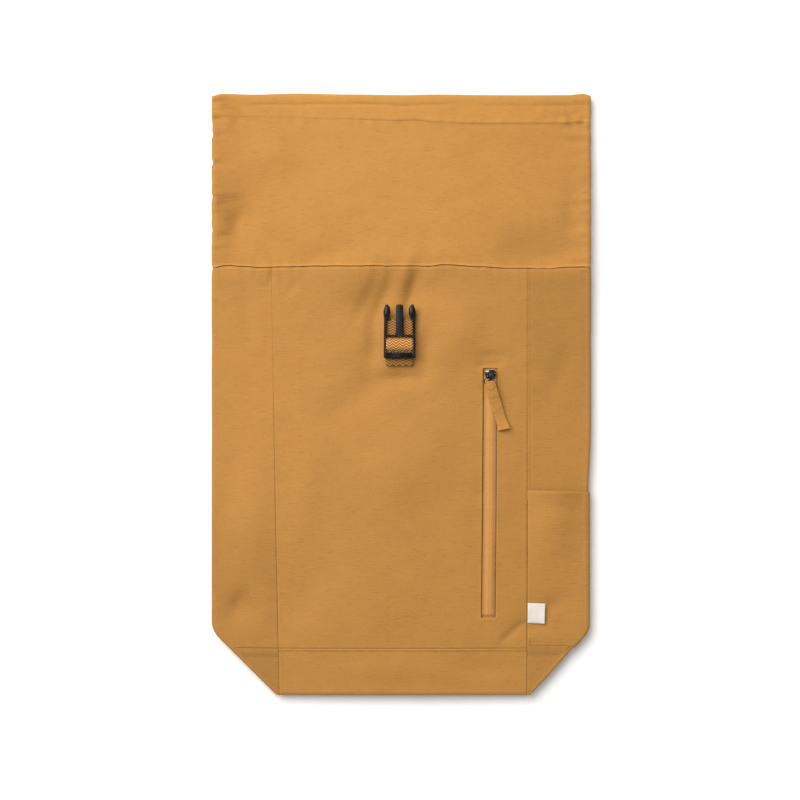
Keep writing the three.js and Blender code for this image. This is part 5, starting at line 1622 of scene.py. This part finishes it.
PAD_TOP_Y = COLLAR_SEAM - 8 * MM
ANCHOR_Y = BOTTOM + 42 * MM
STRAP_WIDTH = 25 * MM
STRAP_WEBBING = 1.2 * MM
LOCK_BAR, LOCK_SLOT, LOCK_BRIDGE = 3 * MM, 5.2 * MM, 3.5 * MM
LOCK_Z, LOCK_THICKNESS = 3 * MM, 1.8 * MM
LOOP_LENGTH = 14 * MM
PAD_LENGTH = 330 * MM
PAD_TOP_OUT = 52 * MM
PAD_END_UP = 110 * MM
PAD_BEND = 125 * MM
LOWER_TAIL = 46 * MM

# Width of a pad as a share, from its top at 0 to its lower end at 1
PAD_OUTLINE = ((0.0, 0.9), (0.12, 1.0), (0.35, 1.0), (0.6, 1.0), (0.82, 0.98), (0.92, 0.86),
               (0.97, 0.66), (1.0, 0.5))


def pad_line(side):
    """The middle line of a pad as three control points, and the anchor of its webbing."""
    top = Vector((side * PAD_TOP_OUT, PAD_TOP_Y))
    low = Vector((side * PAD_LOW_OUT, ANCHOR_Y + PAD_END_UP))
    anchor = Vector((side * (float(seam_out(side, ANCHOR_Y)) - 12 * MM), ANCHOR_Y))
    pull = low - (anchor - low).normalized() * PAD_BEND
    return top, pull, low, anchor


def pad_piece(side):
    """A shoulder pad: foam between two layers of canvas, stitched round its edge and quilted."""
    top, pull, low, _ = pad_line(side)
    name = "left" if side < 0 else "right"
    cells = (2.5 * MM, 0.5 * MM, 0.5 * MM)
    across = stations((PAD_WIDTH, *cells), (PAD_WIDTH, *cells))
    up = stations((PAD_LENGTH, *cells))

    def place(u, v):
        lower = u >= 1
        w = np.where(lower, 2 - u, u)
        t = 1 - v
        mx = top.x * (1 - t) ** 2 + pull.x * 2 * t * (1 - t) + low.x * t * t
        my = top.y * (1 - t) ** 2 + pull.y * 2 * t * (1 - t) + low.y * t * t
        dx = 2 * (1 - t) * (pull.x - top.x) + 2 * t * (low.x - pull.x)
        dy = 2 * (1 - t) * (pull.y - top.y) + 2 * t * (low.y - pull.y)
        run = np.hypot(dx, dy)
        wide = PAD_WIDTH * np.interp(t, *zip(*PAD_OUTLINE))
        off = (w - 0.5) * wide
        x, y = mx - dy / run * off, my + dx / run * off
        rim = np.minimum(np.minimum(w, 1 - w) * wide, np.minimum(v, 1 - v) * PAD_LENGTH)
        plump = np.sqrt(np.clip(1 - (1 - np.clip(rim / (5 * MM), 0, 1)) ** 2, 0, 1))
        stitched = -0.7 * MM * bump(rim - 5.5 * MM, 1.0 * MM)
        quilt = -0.5 * MM * bump(np.abs(off) - 11 * MM, 1.2 * MM) * (rim > 7 * MM)
        half = 1.0 * MM + (PAD_THICKNESS / 2 - 1.0 * MM) * plump + stitched + quilt
        z = PAD_THICKNESS / 2 + np.where(lower, -half, half)
        z = np.maximum(z, 0.05 * MM)
        return stack(x, y, z), stack(off, t * PAD_LENGTH)

    piece = cloth_sheet(f"{name}_shoulder_pad_canvas", across, up, place, 0)
    bm = bmesh.new()
    bm.from_mesh(piece.data)
    bmesh.ops.holes_fill(bm, edges=[e for e in bm.edges if e.is_boundary], sides=0)
    bmesh.ops.remove_doubles(bm, verts=bm.verts[:], dist=1e-5)
    bmesh.ops.recalc_face_normals(bm, faces=bm.faces[:])
    bm.to_mesh(piece.data)
    bm.free()
    finish_piece(piece, "canvas", f"{name}_shoulder_pad")
    return piece


def strap_pieces(side):
    """The loop, ladder lock and lower webbing of one shoulder strap."""
    name = "left" if side < 0 else "right"
    _, _, low, anchor = pad_line(side)
    heading = anchor - low
    start = low + heading.normalized() * LOOP_LENGTH
    place = (Matrix.Translation((start.x, start.y, 0))
             @ Matrix.Rotation(math.atan2(heading.x, -heading.y), 4, "Z"))
    over = LOCK_Z + LOCK_THICKNESS + GAP + STRAP_WEBBING / 2
    under = LOCK_Z - GAP - STRAP_WEBBING / 2
    slots = (-LOCK_BAR, -LOCK_BAR - LOCK_SLOT - LOCK_BRIDGE,
             -2 * LOCK_BAR - 2 * LOCK_SLOT - LOCK_BRIDGE)
    turn, end = slots[0] - LOCK_SLOT / 2, LOOP_LENGTH - GAP
    pinch = (STRAP_WEBBING + GAP) / 2
    loop = (
        (end, PAD_THICKNESS / 2 + pinch),
        (end / 2, PAD_THICKNESS / 2 + pinch),
        (LOCK_BAR / 2, over),
        (turn, over),
        (turn, under),
        (LOCK_BAR / 2, under),
        (end / 2, PAD_THICKNESS / 2 - pinch),
        (end, PAD_THICKNESS / 2 - pinch),
    )
    webbing_piece(f"{name}_pad_loop_woven", loop, BEND_RADIUS, STRAP_WIDTH, STRAP_WEBBING, place,
                  f"{name}_pad_loop")
    slot_in, slot_out = slots[2] - LOCK_SLOT / 2, slots[1] - LOCK_SLOT / 2
    tail = under - STRAP_WEBBING - GAP
    far = -(heading.length - LOOP_LENGTH)
    corner = STRAP_WIDTH / 2
    seat = float(back_height(abs(anchor.x) + corner, anchor.y - corner)) - LAY - STRAP_WEBBING / 2
    lower = (
        (far, seat),
        (far + 10 * MM, seat),
        (far + 22 * MM, under),
        (slot_in - BEND_RADIUS, under),
        (slot_in, over),
        (slot_out, over),
        (slot_out + BEND_RADIUS / 2, tail),
        (slot_in - LOWER_TAIL, tail),
    )
    webbing_piece(f"{name}_lower_webbing_woven", lower, BEND_RADIUS, STRAP_WIDTH, STRAP_WEBBING,
                  place, f"{name}_lower_webbing")
    merged_copy(f"{name}_ladder_lock", f"{name}_ladder_lock_plate", "buckle_plastic", 0.4 * MM, 2)


# Operators


class BACKPACK_OT_front(bpy.types.Operator):
    """Sews the front panel and the band below it"""

    bl_idname = "backpack.front"
    bl_label = "Front and band"

    def execute(self, context):
        cloth = context.scene.backpack_cloth
        front_panel_piece(cloth)
        front_band_piece(cloth)
        return {"FINISHED"}


class BACKPACK_OT_gussets(bpy.types.Operator):
    """Sews the side gussets and their slanted ends"""

    bl_idname = "backpack.gussets"
    bl_label = "Gussets"

    def execute(self, context):
        cloth = context.scene.backpack_cloth
        for side, name in ((-1, "left"), (1, "right")):
            wrap_sheet(cloth, f"{name}_gusset_canvas", side, BAND_SEAM + SEAM / 2,
                       COLLAR_SEAM - SEAM / 2, f"{name}_gusset", True)
            wrap_sheet(cloth, f"{name}_gusset_toe_canvas", side, BOTTOM, BAND_SEAM - SEAM / 2,
                       f"{name}_gusset_toe", False)
        return {"FINISHED"}


class BACKPACK_OT_collar(bpy.types.Operator):
    """Sews the rolltop collar with its hem"""

    bl_idname = "backpack.collar"
    bl_label = "Collar"

    def execute(self, context):
        for face in ("front", "back"):
            collar_piece(context.scene.backpack_cloth, face)
        return {"FINISHED"}


class BACKPACK_OT_back(bpy.types.Operator):
    """Sews the back panel, its band and the base"""

    bl_idname = "backpack.back"
    bl_label = "Back and base"

    def execute(self, context):
        cloth = context.scene.backpack_cloth
        back_sheet(cloth, "back_panel_canvas", BAND_SEAM + SEAM / 2, COLLAR_SEAM - SEAM / 2,
                   "back_panel")
        back_sheet(cloth, "back_band_canvas", BOTTOM, BAND_SEAM - SEAM / 2, "back_band")
        base_piece(cloth)
        return {"FINISHED"}


class BACKPACK_OT_pocket(bpy.types.Operator):
    """Sews the side pocket and the bare label"""

    bl_idname = "backpack.pocket"
    bl_label = "Side pocket and label"

    def execute(self, context):
        pocket_piece(context.scene.backpack_cloth)
        label_piece(context.scene.backpack_cloth)
        return {"FINISHED"}


class BACKPACK_OT_zip(bpy.types.Operator):
    """Sets the zip: tapes, coil, slider, ring and puller"""

    bl_idname = "backpack.zip"
    bl_label = "Zip"

    def execute(self, context):
        cloth = context.scene.backpack_cloth
        tape_piece(cloth, -1)
        tape_piece(cloth, 1)
        coil_piece(cloth)
        merged_copy("zip_slider", "zip_slider_body", "dark_metal", 0.25 * MM, 2)
        ring_piece()
        puller_piece()
        return {"FINISHED"}


class BACKPACK_OT_buckle(bpy.types.Operator):
    """Sets the front buckle on its loop of webbing"""

    bl_idname = "backpack.buckle"
    bl_label = "Front buckle"

    def execute(self, context):
        buckle_webbing_piece()
        buckle_piece()
        prong_heads()
        buckle_ribs()
        return {"FINISHED"}


class BACKPACK_OT_straps(bpy.types.Operator):
    """Sets the closing strap and the shoulder straps behind the bag"""

    bl_idname = "backpack.straps"
    bl_label = "Straps"

    def execute(self, context):
        closure_pieces()
        for side in (-1, 1):
            pad_piece(side)
            strap_pieces(side)
        return {"FINISHED"}


class BACKPACK_OT_stitches(bpy.types.Operator):
    """Sews the lines of top-stitching"""

    bl_idname = "backpack.stitches"
    bl_label = "Top-stitching"

    def execute(self, context):
        stitch_pieces(context.scene.backpack_cloth)
        return {"FINISHED"}


# The key light's place and size, and the point that the camera hangs above at its distance
KEY_PLACE = (-1.7, 1.9, 3.1)
KEY_SIZE = 4.0
CAMERA_PLACE = (-1.46 * MM, -6.2 * MM, 9 * MM)


class BACKPACK_OT_stage(bpy.types.Operator):
    """Lays the floor and sets the light and the camera, straight above the bag"""

    bl_idname = "backpack.stage"
    bl_label = "Stage"

    def execute(self, context):
        scene = context.scene
        stage = scene.backpack_stage
        bm = bmesh.new()
        bmesh.ops.create_grid(bm, x_segments=4, y_segments=4, size=4)
        floor = to_object("floor", bm)
        floor.data.materials.append(floor_material("floor_paper", stage.floor))

        key = bpy.data.lights.new("key", "AREA")
        key.shape = "DISK"
        key.size = KEY_SIZE
        key.energy = stage.key
        key.color = (1.0, 0.985, 0.96)
        light = bpy.data.objects.new("key", key)
        light.location = KEY_PLACE
        light.rotation_mode = "QUATERNION"
        light.rotation_quaternion = (-light.location).to_track_quat("-Z", "Y")
        scene.collection.objects.link(light)

        world = bpy.data.worlds.new("studio")
        world.use_nodes = True
        background = world.node_tree.nodes["Background"]
        background.inputs["Color"].default_value = (1, 1, 1, 1)
        background.inputs["Strength"].default_value = stage.sky
        scene.world = world

        lens = bpy.data.cameras.new("camera")
        lens.lens = stage.lens
        camera = bpy.data.objects.new("camera", lens)
        distance = stage.width * stage.lens / lens.sensor_width
        camera.location = Vector(CAMERA_PLACE) + Vector((0, 0, distance))
        scene.collection.objects.link(camera)
        scene.camera = camera
        scene.view_settings.view_transform = "Standard"
        return {"FINISHED"}


PIECES = (BACKPACK_OT_stage, BACKPACK_OT_front, BACKPACK_OT_gussets, BACKPACK_OT_collar,
          BACKPACK_OT_back, BACKPACK_OT_pocket, BACKPACK_OT_zip, BACKPACK_OT_buckle,
          BACKPACK_OT_straps, BACKPACK_OT_stitches)


class BACKPACK_PT_sidebar(bpy.types.Panel):
    """Lists the pieces of the backpack"""

    bl_idname = "BACKPACK_PT_sidebar"
    bl_label = "Rolltop Backpack"
    bl_space_type = "VIEW_3D"
    bl_region_type = "UI"
    bl_category = "Backpack"

    def draw(self, context):
        for group in (context.scene.backpack_cloth, context.scene.backpack_fittings,
                      context.scene.backpack_stage):
            box = self.layout.box()
            for name in group.bl_rna.properties.keys():
                if name not in ("rna_type", "name"):
                    box.prop(group, name)
        for operator in PIECES:
            self.layout.operator(operator.bl_idname)


CLASSES = (BackpackCloth, BackpackFittings, BackpackStage, *PIECES, BACKPACK_PT_sidebar)


def register():
    for cls in CLASSES:
        bpy.utils.register_class(cls)
    bpy.types.Scene.backpack_cloth = PointerProperty(type=BackpackCloth)
    bpy.types.Scene.backpack_fittings = PointerProperty(type=BackpackFittings)
    bpy.types.Scene.backpack_stage = PointerProperty(type=BackpackStage)


def unregister():
    del bpy.types.Scene.backpack_stage
    del bpy.types.Scene.backpack_fittings
    del bpy.types.Scene.backpack_cloth
    for cls in reversed(CLASSES):
        bpy.utils.unregister_class(cls)


def main():
    register()
    for operator in PIECES:
        group, name = operator.bl_idname.split(".")
        getattr(getattr(bpy.ops, group), name)()


if __name__ == "__main__":
    main()
